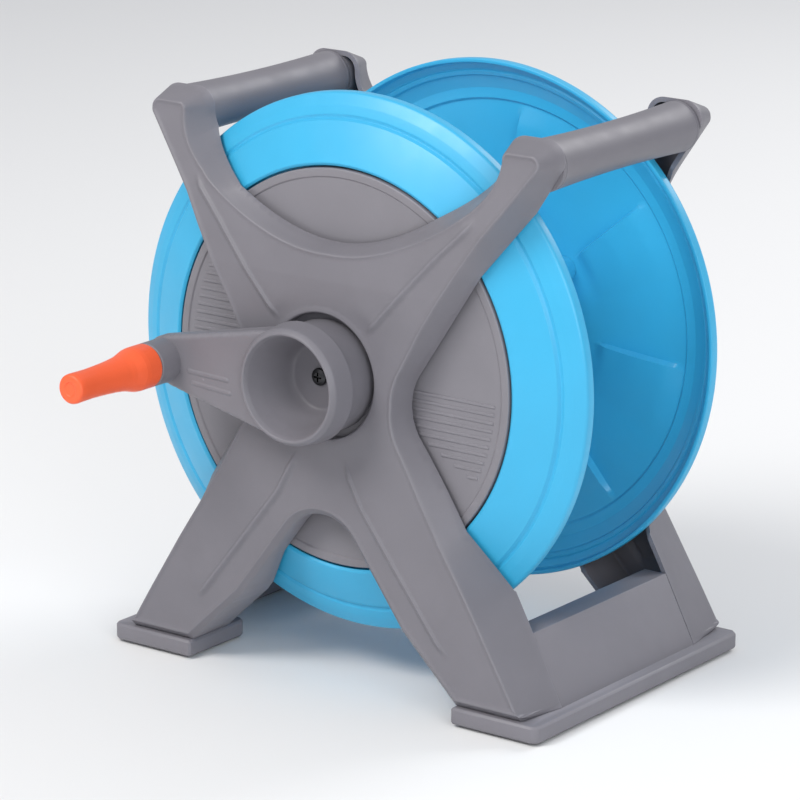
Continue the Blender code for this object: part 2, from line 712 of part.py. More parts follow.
def foot_pad(name, sign, side, parent):
    top = LEG_BOTTOM - GAP - SKID_HEIGHT - GAP
    pad_x, pad_y = foot_screw_place(sign, side)
    low = (-PAD_WIDTH / 2, -PAD_LENGTH / 2, -AXIS_HEIGHT)
    high = (PAD_WIDTH / 2, PAD_LENGTH / 2, top)
    pad = place(name, box(name, low, high), RUBBER, parent, (pad_x, pad_y, 0))
    rounded(pad, 0.0006, 1)
    return pad


def flange_cone():
    """Slope of the conical face of a flange and the radius where it starts."""
    crest = COVER_RADIUS + COVER_RING_GAP + CONE_EDGE
    slope = (COVER_DEPTH - RIM_DEPTH) / (FLANGE_RADIUS - crest)
    return slope, crest


def flange_profile(side, boss):
    """Cross-section of a flange; boss holds the points of its centre, outer side first."""
    slope, crest = flange_cone()
    ring = COVER_RADIUS + COVER_RING_GAP
    wall = FLANGE_WALL * math.sqrt(1 + slope * slope)
    web_out = WEB_DEPTH + FLANGE_WALL
    lip = FLANGE_RADIUS

    def cone(radius):
        return COVER_DEPTH - slope * (radius - crest)

    def where(depth):
        return crest + (COVER_DEPTH - depth) / slope

    crease = CREASE_RADIUS + CREASE_STEP
    outer = [(where(web_out + wall), web_out), (ring, cone(ring) - wall), (ring, COVER_DEPTH - CONE_EDGE),
             (crest, COVER_DEPTH), (CREASE_RADIUS, cone(CREASE_RADIUS) + CREASE_STEP), (crease, cone(crease)),
             (lip - LIP_ROUND, cone(lip - LIP_ROUND)), (lip, cone(lip) - LIP_ROUND / 2), (lip, LIP_DEPTH)]
    inner = [(lip - FLANGE_WALL, LIP_DEPTH), (lip - FLANGE_WALL - 0.0010, cone(lip - FLANGE_WALL) - wall),
             (where(WEB_DEPTH + wall), WEB_DEPTH)]
    points = boss[0] + outer + inner + boss[1]
    return [(radius, side * depth) for radius, depth in points]


def core_seat():
    """Ring on the drum side of a flange that centres the core."""
    outer = CORE_RADIUS - CORE_WALL - GAP
    return [(outer, WEB_DEPTH), (outer, WEB_DEPTH - CORE_SEAT_LENGTH),
            (outer - FLANGE_WALL, WEB_DEPTH - CORE_SEAT_LENGTH), (outer - FLANGE_WALL, WEB_DEPTH)]


def add_web_ribs(flange, side, parent):
    """Radial ribs on the hose side of the web, each with a steep and a gentle flank."""
    base = WEB_DEPTH + FLANGE_WALL / 2
    for number in range(WEB_RIB_COUNT):
        turn = Matrix.Rotation(-2 * math.pi * (number + 0.12) / WEB_RIB_COUNT, 3, "Y")
        rows = []
        for share, rise in ((0, 0.0), (0.12, 0.7), (0.45, 1.0), (0.8, 0.75), (1, 0.0)):
            radius = WEB_RIB_INNER + (WEB_RIB_OUTER - WEB_RIB_INNER) * share
            crest = WEB_DEPTH + FLANGE_WALL / 4 - (WEB_RIB_HEIGHT + FLANGE_WALL / 4) * rise
            low = -WEB_RIB_WIDTH * (0.25 + 0.6 * rise)
            rows.append([turn @ Vector(point) for point in (
                (radius, side * base, low), (radius, side * crest, 0),
                (radius, side * crest, FLANGE_WALL / 2), (radius, side * base, FLANGE_WALL))])
        rib = loft("rib", rows)
        combine(flange, cutter(f"{flange.name}_rib_{number}", rib, parent), "UNION")


def column_angles():
    """Angle of each screw column round the core."""
    return [COLUMN_FIRST_ANGLE + 2 * math.pi * i / COLUMN_COUNT for i in range(COLUMN_COUNT)]


def add_screw_holes(target, side, parent):
    for number, angle in enumerate(column_angles()):
        hole = disc("hole", SCREW_RADIUS + GAP, WEB_DEPTH - PAST, WEB_DEPTH + PAST, SCREW_STEPS, side)
        spot = around(COLUMN_CENTRE, angle)
        combine(target, cutter(f"{target.name}_hole_{number}", hole, parent, spot), "DIFFERENCE")


def front_flange(parent):
    """Crank-side flange: dished disc, drive boss with a hexagonal socket, and core seat."""
    side = -1
    hole = DRIVE_SCREW_RADIUS + GAP
    end = SPLINE_START_DEPTH - GAP - DRIVE_FLOOR
    boss_out = [(0, DRIVE_BOSS_DEPTH), (DRIVE_BOSS_RADIUS, DRIVE_BOSS_DEPTH),
                (DRIVE_BOSS_RADIUS, WEB_DEPTH + FLANGE_WALL)]
    nose = DRIVE_SCREW_RADIUS + 0.004
    boss_in = core_seat() + [(SPLINE_FLAT + 0.006, WEB_DEPTH), (SPLINE_FLAT + 0.004, end), (nose, end),
                             (nose, end - DRIVE_NOSE), (0, end - DRIVE_NOSE)]
    mesh = turned("front_flange", flange_profile(side, (boss_out, boss_in)), ROUND_STEPS)
    flange = place("front_flange", mesh, BLUE, parent)
    add_web_ribs(flange, side, parent)
    socket = hexagon("hex_socket", SPLINE_FLAT + GAP, side * (SPLINE_START_DEPTH - GAP), side * FAR)
    combine(flange, cutter("front_flange_hex", socket, parent), "DIFFERENCE")
    pilot = disc("pilot", hole, end - DRIVE_NOSE + FLANGE_WALL, FAR, SCREW_STEPS, side)
    combine(flange, cutter("front_flange_pilot", pilot, parent), "DIFFERENCE")
    add_screw_holes(flange, side, parent)
    return flange


def rear_flange(parent):
    """Water-side flange: dished disc with a hollow journal for the water tube."""
    side = 1
    bore = TUBE_RADIUS + GAP
    journal = BUSH_INNER - GAP
    boss_out = [(bore, TUBE_END_DEPTH), (journal, TUBE_END_DEPTH), (journal, WEB_DEPTH + FLANGE_WALL)]
    boss_in = core_seat() + [(bore, WEB_DEPTH)]
    mesh = turned("rear_flange", flange_profile(side, (boss_out, boss_in)), ROUND_STEPS)
    flange = place("rear_flange", mesh, BLUE, parent)
    add_web_ribs(flange, side, parent)
    add_screw_holes(flange, side, parent)
    return flange


def drum_core(parent):
    """Tube between the flanges with screw columns and the window for the hose end."""
    end = WEB_DEPTH - GAP
    inner = CORE_RADIUS - CORE_WALL
    core = place("drum_core", disc("drum_core", CORE_RADIUS, -end, end, MEDIUM_STEPS), BLUE, parent)
    for number, angle in enumerate(column_angles()):
        column = disc("column", COLUMN_RADIUS, -end, end, TINY_STEPS)
        spot = around(COLUMN_CENTRE, angle)
        combine(core, cutter(f"drum_core_column_{number}", column, parent, spot), "UNION")
    bore = disc("bore", inner, -end - PAST, end + PAST, MEDIUM_STEPS)
    combine(core, cutter("drum_core_bore", bore, parent), "DIFFERENCE")
    for number, angle in enumerate(column_angles()):
        pilot = disc("pilot", SCREW_RADIUS + GAP, -end - PAST, end + PAST, SCREW_STEPS)
        spot = around(COLUMN_CENTRE, angle)
        combine(core, cutter(f"drum_core_pilot_{number}", pilot, parent, spot), "DIFFERENCE")
    half = WINDOW_HEIGHT / 2
    window = box("window", (CORE_RADIUS / 2, WINDOW_START, -half), (CORE_RADIUS * 1.5, WINDOW_END, half))
    combine(core, cutter("drum_core_window", window, parent), "DIFFERENCE")
    return core


def cover_disc(name, side, parent):
    """Grey disc that closes a flange, with a raised rim and a skirt that stands on the web."""
    seat = WEB_DEPTH + FLANGE_WALL + GAP
    under = COVER_DEPTH - COVER_WALL
    hole = BUSH_INNER + GAP
    face = COVER_DEPTH - COVER_STEP
    rim = COVER_RADIUS - COVER_RIM
    points = [(hole, face), (rim, face), (rim + COVER_STEP, COVER_DEPTH), (COVER_RADIUS, COVER_DEPTH),
              (COVER_RADIUS, seat), (COVER_RADIUS - COVER_WALL, seat), (COVER_RADIUS - COVER_WALL, under),
              (hole, under)]
    mesh = turned(name, [(radius, side * depth) for radius, depth in points], ROUND_STEPS)
    return place(name, mesh, PALE_GREY, parent)


def screw(name, parent, location, direction, length, radius=SCREW_RADIUS, head=SCREW_HEAD_RADIUS):
    """Pan-head screw whose head stands out along direction, with its seat at the location."""
    tall = SCREW_HEAD_HEIGHT
    profile = [(0, tall), (head * 0.75, tall), (head, 0), (radius, 0), (radius, -length), (0, -length)]
    made = place(name, turned(name, profile, SCREW_STEPS), STEEL, parent, location)
    made.rotation_euler = Vector((0, 1, 0)).rotation_difference(Vector(direction)).to_euler()
    return made


def bush(name, side, parent):
    """Flanged plastic bearing in the hub."""
    start = COVER_DEPTH + DRUM_CLEARANCE + GAP
    step = start + BUSH_LIP
    end = BEARING_END - GAP
    points = [(BUSH_INNER, start), (BUSH_LIP_RADIUS, start), (BUSH_LIP_RADIUS, step), (BUSH_OUTER, step),
              (BUSH_OUTER, end), (BUSH_INNER, end)]
    mesh = turned(name, [(radius, side * depth) for radius, depth in points], MEDIUM_STEPS)
    return place(name, mesh, NATURAL, parent)


def arm_mesh(inward, back, front_shift):
    """Tapered arm seen along Y, from the hub to a round tip, with its face sloping to the tip."""
    root = ARM_ROOT_HALF - inward
    outline = [(0, root)]
    outline += arc((-ARM_LENGTH, 0), ARM_TIP_RADIUS - inward, 100, 260, 6)
    outline += [(0, -root)]
    slope = (ARM_FACE_DEPTH - ARM_TIP_FACE_DEPTH) / ARM_LENGTH
    near = [(x, -back, z) for x, z in outline]
    far = [(x, -(ARM_FACE_DEPTH - front_shift + slope * x), z) for x, z in outline]
    return loft("arm", [near, far])


def crank(parent):
    """Crank: bell-shaped cup hub, barrel journal, hexagonal spigot and a tapered hollow arm."""
    journal = BUSH_INNER - GAP
    skirt = NECK_RADIUS - NECK_WALL
    cavity = BEARING_END + 2 * GAP
    skirt_end = HUB_RECESS_DEPTH + 4 * GAP
    face = CRANK_FACE_DEPTH
    points = [(0, BARREL_START_DEPTH), (journal, BARREL_START_DEPTH), (journal, cavity), (skirt, cavity),
              (skirt, skirt_end), (NECK_RADIUS, skirt_end), (NECK_RADIUS, CRANK_BACK_DEPTH),
              (CRANK_HUB_RADIUS, CRANK_BACK_DEPTH), (CRANK_HUB_RADIUS - 0.0006, CRANK_BACK_DEPTH + 0.004),
              (CRANK_RIM_RADIUS + 0.0010, face - 0.0030), (CRANK_RIM_RADIUS, face), (0, face)]
    mesh = turned("crank", [(radius, -depth) for radius, depth in points], MEDIUM_STEPS)
    body = place("crank", mesh, GREY, parent)
    arm = cutter("crank_arm", arm_mesh(0, CRANK_BACK_DEPTH + 0.0005, 0), parent)
    rounded(arm, 0.003)
    combine(body, arm, "UNION")
    at_tip = (-ARM_LENGTH, 0, 0)
    boss = disc("boss", TIP_BOSS_RADIUS, -CRANK_BACK_DEPTH - 0.0005, -TIP_BOSS_DEPTH, SMALL_STEPS)
    combine(body, cutter("crank_boss", boss, parent, at_tip), "UNION")
    spline = hexagon("spline", SPLINE_FLAT, -SPLINE_START_DEPTH, -BARREL_START_DEPTH - 0.004)
    combine(body, cutter("crank_spline", spline, parent), "UNION")
    hollow = cutter("crank_arm_hollow", arm_mesh(ARM_WALL, CRANK_BACK_DEPTH - 0.01, ARM_WALL), parent)
    keep = disc("keep", CRANK_HUB_RADIUS - 0.001, 0, FAR, MEDIUM_STEPS, -1, "Y", 0.5)
    combine(hollow, cutter("crank_hollow_hub", keep, parent), "DIFFERENCE")
    tip_keep = disc("tip_keep", PIN_RADIUS + ARM_WALL + 0.001, 0, FAR, TINY_STEPS, -1, "Y", 0.5)
    combine(hollow, cutter("crank_hollow_tip", tip_keep, parent, at_tip), "DIFFERENCE")
    combine(body, hollow, "DIFFERENCE")
    hollow_points = [(0, CUP_FLOOR_DEPTH), (CUP_FLOOR_RADIUS, CUP_FLOOR_DEPTH),
                     (CUP_FLOOR_RADIUS + 0.0030, CUP_FLOOR_DEPTH + 0.004),
                     (CUP_RADIUS - 0.0045, face - 0.012), (CUP_RADIUS - 0.0006, face - 0.0012),
                     (CUP_RADIUS + 0.0024, face + 0.005), (0, face + 0.005)]
    cup = turned("cup", [(radius, -depth) for radius, depth in hollow_points], MEDIUM_STEPS, "Y", 0.5)
    combine(body, cutter("crank_cup", cup, parent), "DIFFERENCE")
    bore = disc("bore", DRIVE_SCREW_RADIUS + GAP, SPLINE_START_DEPTH - PAST, FAR, SCREW_STEPS, -1)
    combine(body, cutter("crank_bore", bore, parent), "DIFFERENCE")
    pin_hole = disc("pin_hole", PIN_RADIUS + GAP, CRANK_BACK_DEPTH - PAST, FAR, TINY_STEPS, -1)
    combine(body, cutter("crank_pin_hole", pin_hole, parent, at_tip), "DIFFERENCE")
    return body


def grip_pin(parent):
    """Steel pin in the boss of the arm that carries the grip, with a head behind the arm."""
    start = CRANK_BACK_DEPTH + 0.0005 - GAP
    end = GRIP_END_DEPTH - 0.006
    head = PIN_RADIUS + 0.0022
    points = [(0, start - 0.002), (head, start - 0.002), (head, start), (PIN_RADIUS, start),
              (PIN_RADIUS, end), (0, end)]
    mesh = turned("grip_pin", [(radius, -depth) for radius, depth in points], TINY_STEPS)
    return place("grip_pin", mesh, STEEL, parent, (-ARM_LENGTH, 0, 0))


def crank_grip(parent):
    """Orange bell-shaped sleeve that turns freely on its pin."""
    start = GRIP_START_DEPTH
    end = GRIP_END_DEPTH
    bore = PIN_RADIUS + GAP
    bell = GRIP_BASE_RADIUS - GRIP_END_RADIUS
    swell = ((0.0, 0.85), (0.02, 1.0), (0.15, 1.0), (0.25, 0.72), (0.36, 0.36), (0.55, 0.12), (0.75, 0.0),
             (0.93, 0.06))
    points = [(bore, start)]
    points += [(GRIP_END_RADIUS + bell * share, start + GRIP_LENGTH * along) for along, share in swell]
    points += [(GRIP_END_RADIUS - 0.0022, end), (0, end), (0, end - 0.005), (bore, end - 0.005)]
    mesh = turned("crank_grip", [(radius, -depth) for radius, depth in points], SMALL_STEPS)
    return place("crank_grip", mesh, ORANGE, parent)


def water_tube(parent):
    """Hollow axle at the water side, with a collar behind the rear web."""
    collar = WEB_DEPTH - GAP
    thread = THREAD_RADIUS - GAP
    wide = TUBE_RADIUS + 0.0055
    step = INLET_START_DEPTH - 0.003
    points = [(TUBE_BORE, TUBE_END_DEPTH), (TUBE_RADIUS, TUBE_END_DEPTH), (TUBE_RADIUS, collar),
              (wide, collar), (wide, collar - COLLAR_LENGTH), (thread, collar - COLLAR_LENGTH),
              (thread, TUBE_INNER_END), (NIPPLE_BORE, TUBE_INNER_END), (NIPPLE_BORE, step),
              (TUBE_BORE, step + 0.001)]
    return place("water_tube", turned("water_tube", points, WATER_STEPS), NATURAL, parent)


def barb(start, end):
    """Profile of a quick-connector nipple between two places: neck, groove, crest and nose."""
    span = end - start
    return [(0.0082, start), (0.0082, start + 0.30 * span), (0.0093, start + 0.38 * span),
            (0.0093, start + 0.60 * span), (0.0078, start + 0.68 * span), (0.0078, start + 0.88 * span),
            (0.0068, end)]


def inlet_nipple(parent):
    """Connector for the supply hose, held in the inlet plate, with a sleeve into the water tube."""
    plate = BEARING_END + GAP
    sleeve = TUBE_BORE - GAP
    groove = sleeve - O_RING_GROOVE
    flange = INLET_FLANGE_RADIUS
    back = TUBE_END_DEPTH + GAP
    points = [(NIPPLE_BORE, INLET_START_DEPTH), (sleeve, INLET_START_DEPTH)]
    for middle in o_ring_places():
        half = O_RING_WIDTH / 2 + GAP
        points += [(sleeve, middle - half), (groove, middle - half)]
        points += [(groove, middle + half), (sleeve, middle + half)]
    seat = plate - INLET_SEAL - 2 * GAP
    thread_end = plate + INLET_PLATE + INLET_NUT + THREAD_SHOWN
    points += [(sleeve, back), (flange, back), (flange, seat), (THREAD_RADIUS, seat)]
    points += [(THREAD_RADIUS, thread_end)]
    points += barb(thread_end + NIPPLE_STEP, INLET_END_DEPTH) + [(NIPPLE_BORE, INLET_END_DEPTH)]
    return place("inlet_nipple", turned("inlet_nipple", points, WATER_STEPS), GREY, parent)


def o_ring_places():
    """Where the two rings of the inlet sleeve sit on the axis."""
    first = INLET_START_DEPTH + 0.0045
    return first, first + 0.0075


def o_ring(name, y, parent):
    """Rubber ring in a groove of the inlet sleeve."""
    outer = TUBE_BORE - O_RING_CLEARANCE
    inner = TUBE_BORE - GAP - O_RING_GROOVE + O_RING_CLEARANCE
    half = O_RING_WIDTH / 2
    middle = (inner + outer) / 2
    points = [(middle, y - half), (outer, y), (middle, y + half), (inner, y)]
    return place(name, turned(name, points, WATER_STEPS), RUBBER, parent)


def inlet_group(parent):
    """Plate, nut, seal and screws that hold the inlet nipple in the rear hub ring."""
    plate = BEARING_END + GAP
    outer = plate + INLET_PLATE
    fit = THREAD_RADIUS + GAP
    disc_mesh = tube("inlet_plate", fit, HUB_RECESS_RADIUS - GAP, plate, outer, MEDIUM_STEPS)
    plate_object = place("inlet_plate", disc_mesh, GREY, parent)
    frame_object = bpy.data.objects["rear_frame"]
    radius = (BUSH_OUTER + HUB_RECESS_RADIUS) / 2
    for number in range(INLET_SCREW_COUNT):
        angle = INLET_SCREW_ANGLE + 2 * math.pi * number / INLET_SCREW_COUNT
        depth = outer - INLET_SCREW_LENGTH
        drill = disc("drill", SCREW_RADIUS + GAP, depth - 0.001, outer + PAST, SCREW_STEPS)
        helper = cutter(f"inlet_drill_{number}", drill, parent, around(radius, angle))
        combine(plate_object, helper, "DIFFERENCE")
        combine(frame_object, helper, "DIFFERENCE")
        at_plate = around(radius, angle, outer + GAP)
        screw(f"inlet_screw_{number + 1}", parent, at_plate, (0, 1, 0), INLET_SCREW_LENGTH)
    nut_start = outer + GAP
    nut_mesh = hexagon("inlet_nut", INLET_NUT_FLAT, nut_start, nut_start + INLET_NUT)
    nut = place("inlet_nut", nut_mesh, GREY, parent)
    thread = disc("thread", fit, nut_start - PAST, nut_start + INLET_NUT + PAST, WATER_STEPS)
    combine(nut, cutter("inlet_nut_thread", thread, parent), "DIFFERENCE")
    seal = tube("inlet_seal", fit, INLET_FLANGE_RADIUS, plate - INLET_SEAL - GAP, plate - GAP, WATER_STEPS)
    place("inlet_seal", seal, RUBBER, parent)


def outlet_group(parent):
    """Elbow on the inner end of the water tube, its seal and the nipple for the wound hose."""
    high = WEB_DEPTH - GAP - COLLAR_LENGTH - GAP
    shell = THREAD_RADIUS + 0.0036
    elbow_points = [(0, OUTLET_START), (shell, OUTLET_START), (shell, high), (THREAD_RADIUS, high),
                    (THREAD_RADIUS, TUBE_INNER_END - GAP), (NIPPLE_BORE, TUBE_INNER_END - GAP),
                    (NIPPLE_BORE, OUTLET_CENTRE - 0.004), (0, OUTLET_CENTRE - 0.004)]
    elbow = place("outlet_elbow", turned("outlet_elbow", elbow_points, WATER_STEPS), GREY, parent)
    centre = (0, OUTLET_CENTRE, 0)
    branch = disc("branch", OUTLET_SHELL, THREAD_RADIUS + 0.001, OUTLET_REACH, TINY_STEPS, 1, "X")
    combine(elbow, cutter("outlet_branch", branch, parent, centre), "UNION")
    spigot = OUTLET_SHELL - 0.0037
    bore = disc("bore", spigot + GAP, 0.0005, OUTLET_REACH + PAST, TINY_STEPS, 1, "X", 0.5)
    combine(elbow, cutter("outlet_bore", bore, parent, centre), "DIFFERENCE")
    seal_end = OUTLET_REACH + INLET_SEAL
    seal = tube("outlet_seal", spigot + GAP, OUTLET_SHELL, OUTLET_REACH + GAP, seal_end, TINY_STEPS, "X")
    place("outlet_seal", seal, RUBBER, parent, centre)
    start = seal_end + GAP
    collar = OUTLET_SHELL + 0.001
    inner = spigot - 0.0020
    points = [(inner, OUTLET_REACH - 0.011), (spigot, OUTLET_REACH - 0.011), (spigot, start), (collar, start),
              (collar, start + 0.003)]
    points += barb(start + 0.0032, OUTLET_END) + [(inner, OUTLET_END)]
    place("outlet_nipple", turned("outlet_nipple", points, TINY_STEPS, "X"), GREY, parent, centre)


def build():
    clear_scene()
    stand = empty("stand_frame", (0, REEL_SHIFT, AXIS_HEIGHT))
    drum = empty("drum_axis", (0, 0, 0), stand)
    grip_axis = empty("grip_axis", (-ARM_LENGTH, 0, 0), drum)

    frame("front_frame", -1, stand)
    frame("rear_frame", 1, stand)
    for label, sign in (("left", -1), ("right", 1)):
        tie_bar(f"tie_bar_{label}", sign, stand)
        base_rail(f"base_rail_{label}", sign, stand)
        foot_pad(f"foot_pad_front_{label}", sign, -1, stand)
        foot_pad(f"foot_pad_rear_{label}", sign, 1, stand)
    bush("front_bush", -1, stand)
    bush("rear_bush", 1, stand)
    inlet_nipple(stand)
    inlet_group(stand)
    for label, middle in zip(("inner", "outer"), o_ring_places()):
        o_ring("o_ring_" + label, middle, stand)

    front_flange(drum)
    rear_flange(drum)
    drum_core(drum)
    cover_disc("front_cover", -1, drum)
    cover_disc("rear_cover", 1, drum)
    seat = WEB_DEPTH + FLANGE_WALL + GAP
    for label, side in (("front", -1), ("rear", 1)):
        for number, angle in enumerate(column_angles()):
            screw(f"flange_screw_{label}_{number + 1}", drum, around(COLUMN_CENTRE, angle, side * seat),
                  (0, side, 0), SCREW_LENGTH)
    water_tube(drum)
    outlet_group(drum)
    crank(drum)
    screw("crank_screw", drum, (0, -(CUP_FLOOR_DEPTH + GAP), 0), (0, -1, 0), DRIVE_SCREW_LENGTH,
          DRIVE_SCREW_RADIUS, DRIVE_SCREW_HEAD)
    grip_pin(drum)
    crank_grip(grip_axis)


build()
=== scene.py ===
"""Looks of a hose reel: smooth moulded shells and finishes round the fixed frame, with light and camera.

Metres, +Z up. Shapes are drawn round the drum axis as (x, depth, z), where depth is the distance from the
drum's middle plane along Y; side is -1 at the crank end and 1 at the water inlet.
"""

import json
import math

import bmesh
import bpy
import numpy as np
from mathutils import Matrix, Vector
from mathutils.geometry import delaunay_2d_cdt


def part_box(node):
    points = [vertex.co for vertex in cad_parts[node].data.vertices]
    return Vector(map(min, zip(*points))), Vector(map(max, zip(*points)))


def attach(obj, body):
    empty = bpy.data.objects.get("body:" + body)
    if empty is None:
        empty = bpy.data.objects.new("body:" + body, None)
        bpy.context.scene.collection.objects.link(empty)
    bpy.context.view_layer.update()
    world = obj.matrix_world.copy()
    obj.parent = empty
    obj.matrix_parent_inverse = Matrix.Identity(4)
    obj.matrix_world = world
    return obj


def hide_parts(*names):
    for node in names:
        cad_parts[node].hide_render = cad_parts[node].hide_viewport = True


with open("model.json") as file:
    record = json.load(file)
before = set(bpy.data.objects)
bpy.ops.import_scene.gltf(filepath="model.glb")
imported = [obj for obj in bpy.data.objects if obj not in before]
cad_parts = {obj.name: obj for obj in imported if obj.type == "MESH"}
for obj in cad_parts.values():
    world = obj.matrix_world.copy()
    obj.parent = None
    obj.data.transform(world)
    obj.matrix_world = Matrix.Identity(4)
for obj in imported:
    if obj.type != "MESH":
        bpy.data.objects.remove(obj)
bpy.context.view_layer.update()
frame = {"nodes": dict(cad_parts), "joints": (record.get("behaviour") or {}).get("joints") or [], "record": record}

JOINTS = {joint["name"]: Vector(joint["pos_m"]) for joint in frame["joints"]}
AXIS = JOINTS["drum_spin"]
GRIP_AXIS = JOINTS["grip_spin"]

# Fineness of the meshes
SPACING = 0.0017
ROUND = 192
SMALL_ROUND = 96
CORNER_STEPS = 4
GAP = 0.0003

# Stand
FACE_HEIGHTS = [-0.195, -0.132, -0.060, 0.000, 0.060, 0.0815, 0.115, 0.147]
FACE_DEPTHS = [0.1140, 0.1132, 0.1125, 0.1120, 0.1108, 0.1075, 0.1005, 0.0945]
INNER_DEPTH = 0.0750
WALL = 0.0032
RIM_HEIGHT = 0.0008
LEAN_START = 0.0010
EDGE_SOFT = 0.0018
EDGE_BEAD = 0.0008
BEAD_PLACE = 0.0012
BEAD_WIDTH = 0.0011
EDGE_RINGS = (-0.0008, -0.0005, -0.0002, 0.0001, 0.0004, 0.0008, 0.0013, 0.0019, 0.0027)
WALL_RINGS = (0.33, 0.66)
STEP_HEIGHT = 0.0026
STEP_WIDTH = 0.0034
STEP_CREST = (0.0022, 0.0036)
STEP_CREST_SHARE = 0.55
STEP_FADE = 0.026
STEP_ENDS = 0.10
STEP_MARGIN = 0.0034
STEP_RINGS = (-0.0017, -0.0006, 0.0006, 0.0018, 0.0025, 0.0032, 0.0040)
BAR_X = 0.135
BAR_Z = 0.143
BAR_RADIUS = 0.0147
BAR_END_RADIUS = 0.0162
BAR_SEAM = 0.0035
ELBOW_BOSS = 0.0162
ELBOW_HALF = 0.0170
ELBOW_INNER = 0.0230
ELBOW_CORNER = 0.0120
ELBOW_LEAN = 0.0050
NOTCH_Z = 0.0815
NOTCH_PULL_X = 0.036
NOTCH_SIDE = (0.078, 0.1085)
NOTCH_UPPER_PULL = (0.1125, 0.1290)
NOTCH_LEAN = 0.0080
NOTCH_LOW_LEAN = 0.0045
SIDE_LEAN_HEIGHTS = [-0.191, -0.166, -0.140, -0.117, -0.088, -0.060, -0.040, -0.012, 0.010, 0.030, 0.090]
SIDE_LEANS = [0.0040, 0.0055, 0.0072, 0.0083, 0.0100, 0.0090, 0.0065, 0.0035, 0.0050, 0.0075, 0.0090]
SIDE_SHARES = (0.35, 0.6, 0.8)
ARCH_LEAN = 0.0030
WAIST = (0.093, -0.012)
WAIST_RADIUS = 0.036
WAIST_TURN = 33
ARCH_Z = -0.089
ARCH_RADIUS = 0.030
LEG_PULL = (0.104, -0.085)
LEG_OUTER = (0.157, -0.191)
LEG_INNER_X = 0.103
LEG_KNEE = (0.062, -0.152)
FOOT_EDGE = 0.006
ARM_STEP = ((0.034, 0.030), (0.046, 0.043), (0.064, 0.063), (0.084, 0.085), (0.100, 0.101), (0.108, 0.110))
LEG_STEP = ((0.016, -0.051), (0.031, -0.079), (0.051, -0.105), (0.073, -0.133), (0.091, -0.156),
            (0.098, -0.163))
CLEAR_INNER = (0.1304, 0.0956)
CLEAR_OUTER = (0.1730, 0.0760)
SOLID_RADIUS = 0.138

# Hub rings and bushes
HUB_HOLE = 0.0430
HUB_DEPTH = 0.1120
RECESS_RADIUS = 0.0395
RECESS_DEPTH = 0.1040
BUSH_HOLE = 0.0283
BUSH_TUBE = 0.0315
BUSH_INNER = 0.0245
BUSH_LIP_HOLE = 0.0318
BUSH_STEP = 0.0982
BUSH_START = 0.0959
BUSH_LIP = 0.0020
BEARING_END = 0.1120
INLET_RING_DEPTH = 0.1240
INLET_RING_OUTER = 0.0430
INLET_RING_STEP = 0.0012

# Drum
FLANGE_RADIUS = 0.170
FLANGE_WALL = 0.0026
RIM_DEPTH = 0.0730
LIP_DEPTH = 0.0660
CREASE_RADIUS = 0.155
CREASE_DEPTH = 0.0014
CONE_EDGE = 0.0018
RING_HEIGHT = 0.0018
COVER_RADIUS = 0.126
COVER_DEPTH = 0.0926
COVER_WALL = 0.0024
COVER_RING_GAP = 0.0014
COVER_RIM = 0.0060
COVER_STEP = 0.0008
WEB_DEPTH = 0.0820
WEB_RIB_COUNT = 8
WEB_RIB_INNER = 0.074
WEB_RIB_OUTER = 0.141
WEB_RIB_HEIGHT = 0.0055
WEB_RIB_RISE = ((0, 0.12, 0.45, 0.8, 1), (0, 0.7, 1.0, 0.75, 0))
WEB_RIB_BLADE = ((0, 0.50, 0.955, 0.985, 1), (1, 0.18, 0.0, 0.0, 1))
WEB_RIB_TURN = 0.12
WEB_ROWS = 26
CORE_RADIUS = 0.060
CORE_WALL = 0.003
SEAT_LENGTH = 0.007
DRIVE_BOSS_RADIUS = 0.0215
DRIVE_BOSS_DEPTH = 0.0975
DRIVE_FLOOR = 0.003
DRIVE_NOSE = 0.016
DRIVE_NOSE_RADIUS = 0.0064
TUBE_RADIUS = 0.0123
TUBE_BORE = 0.0090
TUBE_END_DEPTH = 0.1085
WINDOW_START = 0.034
WINDOW_END = 0.079
WINDOW_HEIGHT = 0.034
COLUMN_RADIUS = 0.0085
COLUMN_CENTRE = 0.0610
COLUMN_ANGLES = [math.radians(38 + 120 * turn) for turn in range(3)]
COVER_RIB_LOW = 0.0045
COVER_RIB_INNER = 0.050
COVER_RIB_PITCH = 0.0052
COVER_RIB_COUNT = 10
COVER_RIB_HALF = 0.0007
COVER_RIB_HEIGHT = 0.0007
COVER_RIB_FLANK = 0.0005
COVER_RIB_REACH = 0.1155
COVER_RIB_SLOPE = math.tan(math.radians(28))

# Crank and grip
BARREL_START_DEPTH = 0.0988
SPLINE_START_DEPTH = 0.0810
SPLINE_LENGTH = 0.022
SPLINE_FLAT = 0.0140
DRIVE_SCREW_DEPTH = 0.1133
DRIVE_SCREW_RADIUS = 0.0024
DRIVE_SCREW_HEAD = 0.0055
FACE_DEPTH = 0.1480
BACK_DEPTH = 0.1300
ARM_BACK = 0.1305
BELL_RADIUS = 0.0385
BELL_RIM = 0.0350
CUP_RADIUS = 0.0330
CUP_FLOOR_DEPTH = 0.1130
CUP_FLOOR_RADIUS = 0.0205
NECK_RADIUS = 0.0350
NECK_WALL = 0.0027
ARM_ROOT_HALF = 0.0365
ARM_TIP_RADIUS = 0.0150
ARM_FACE = (0.1455, 0.1405)
ARM_EDGE = 0.0030
ARM_WALL = 0.003
ARM_RIBS = ((-0.080, -0.049, -0.0035), (-0.077, -0.047, -0.0105))
ARM_RIB_SPLAY = 1.15
ARM_RIB_HEIGHT = 0.0008
ARM_RIB_HALF = 0.0016
BOSS_RADIUS = 0.0140
BOSS_DEPTH = 0.1580
GRIP_START = 0.1583
GRIP_END = 0.2298
GRIP_BASE = 0.0140
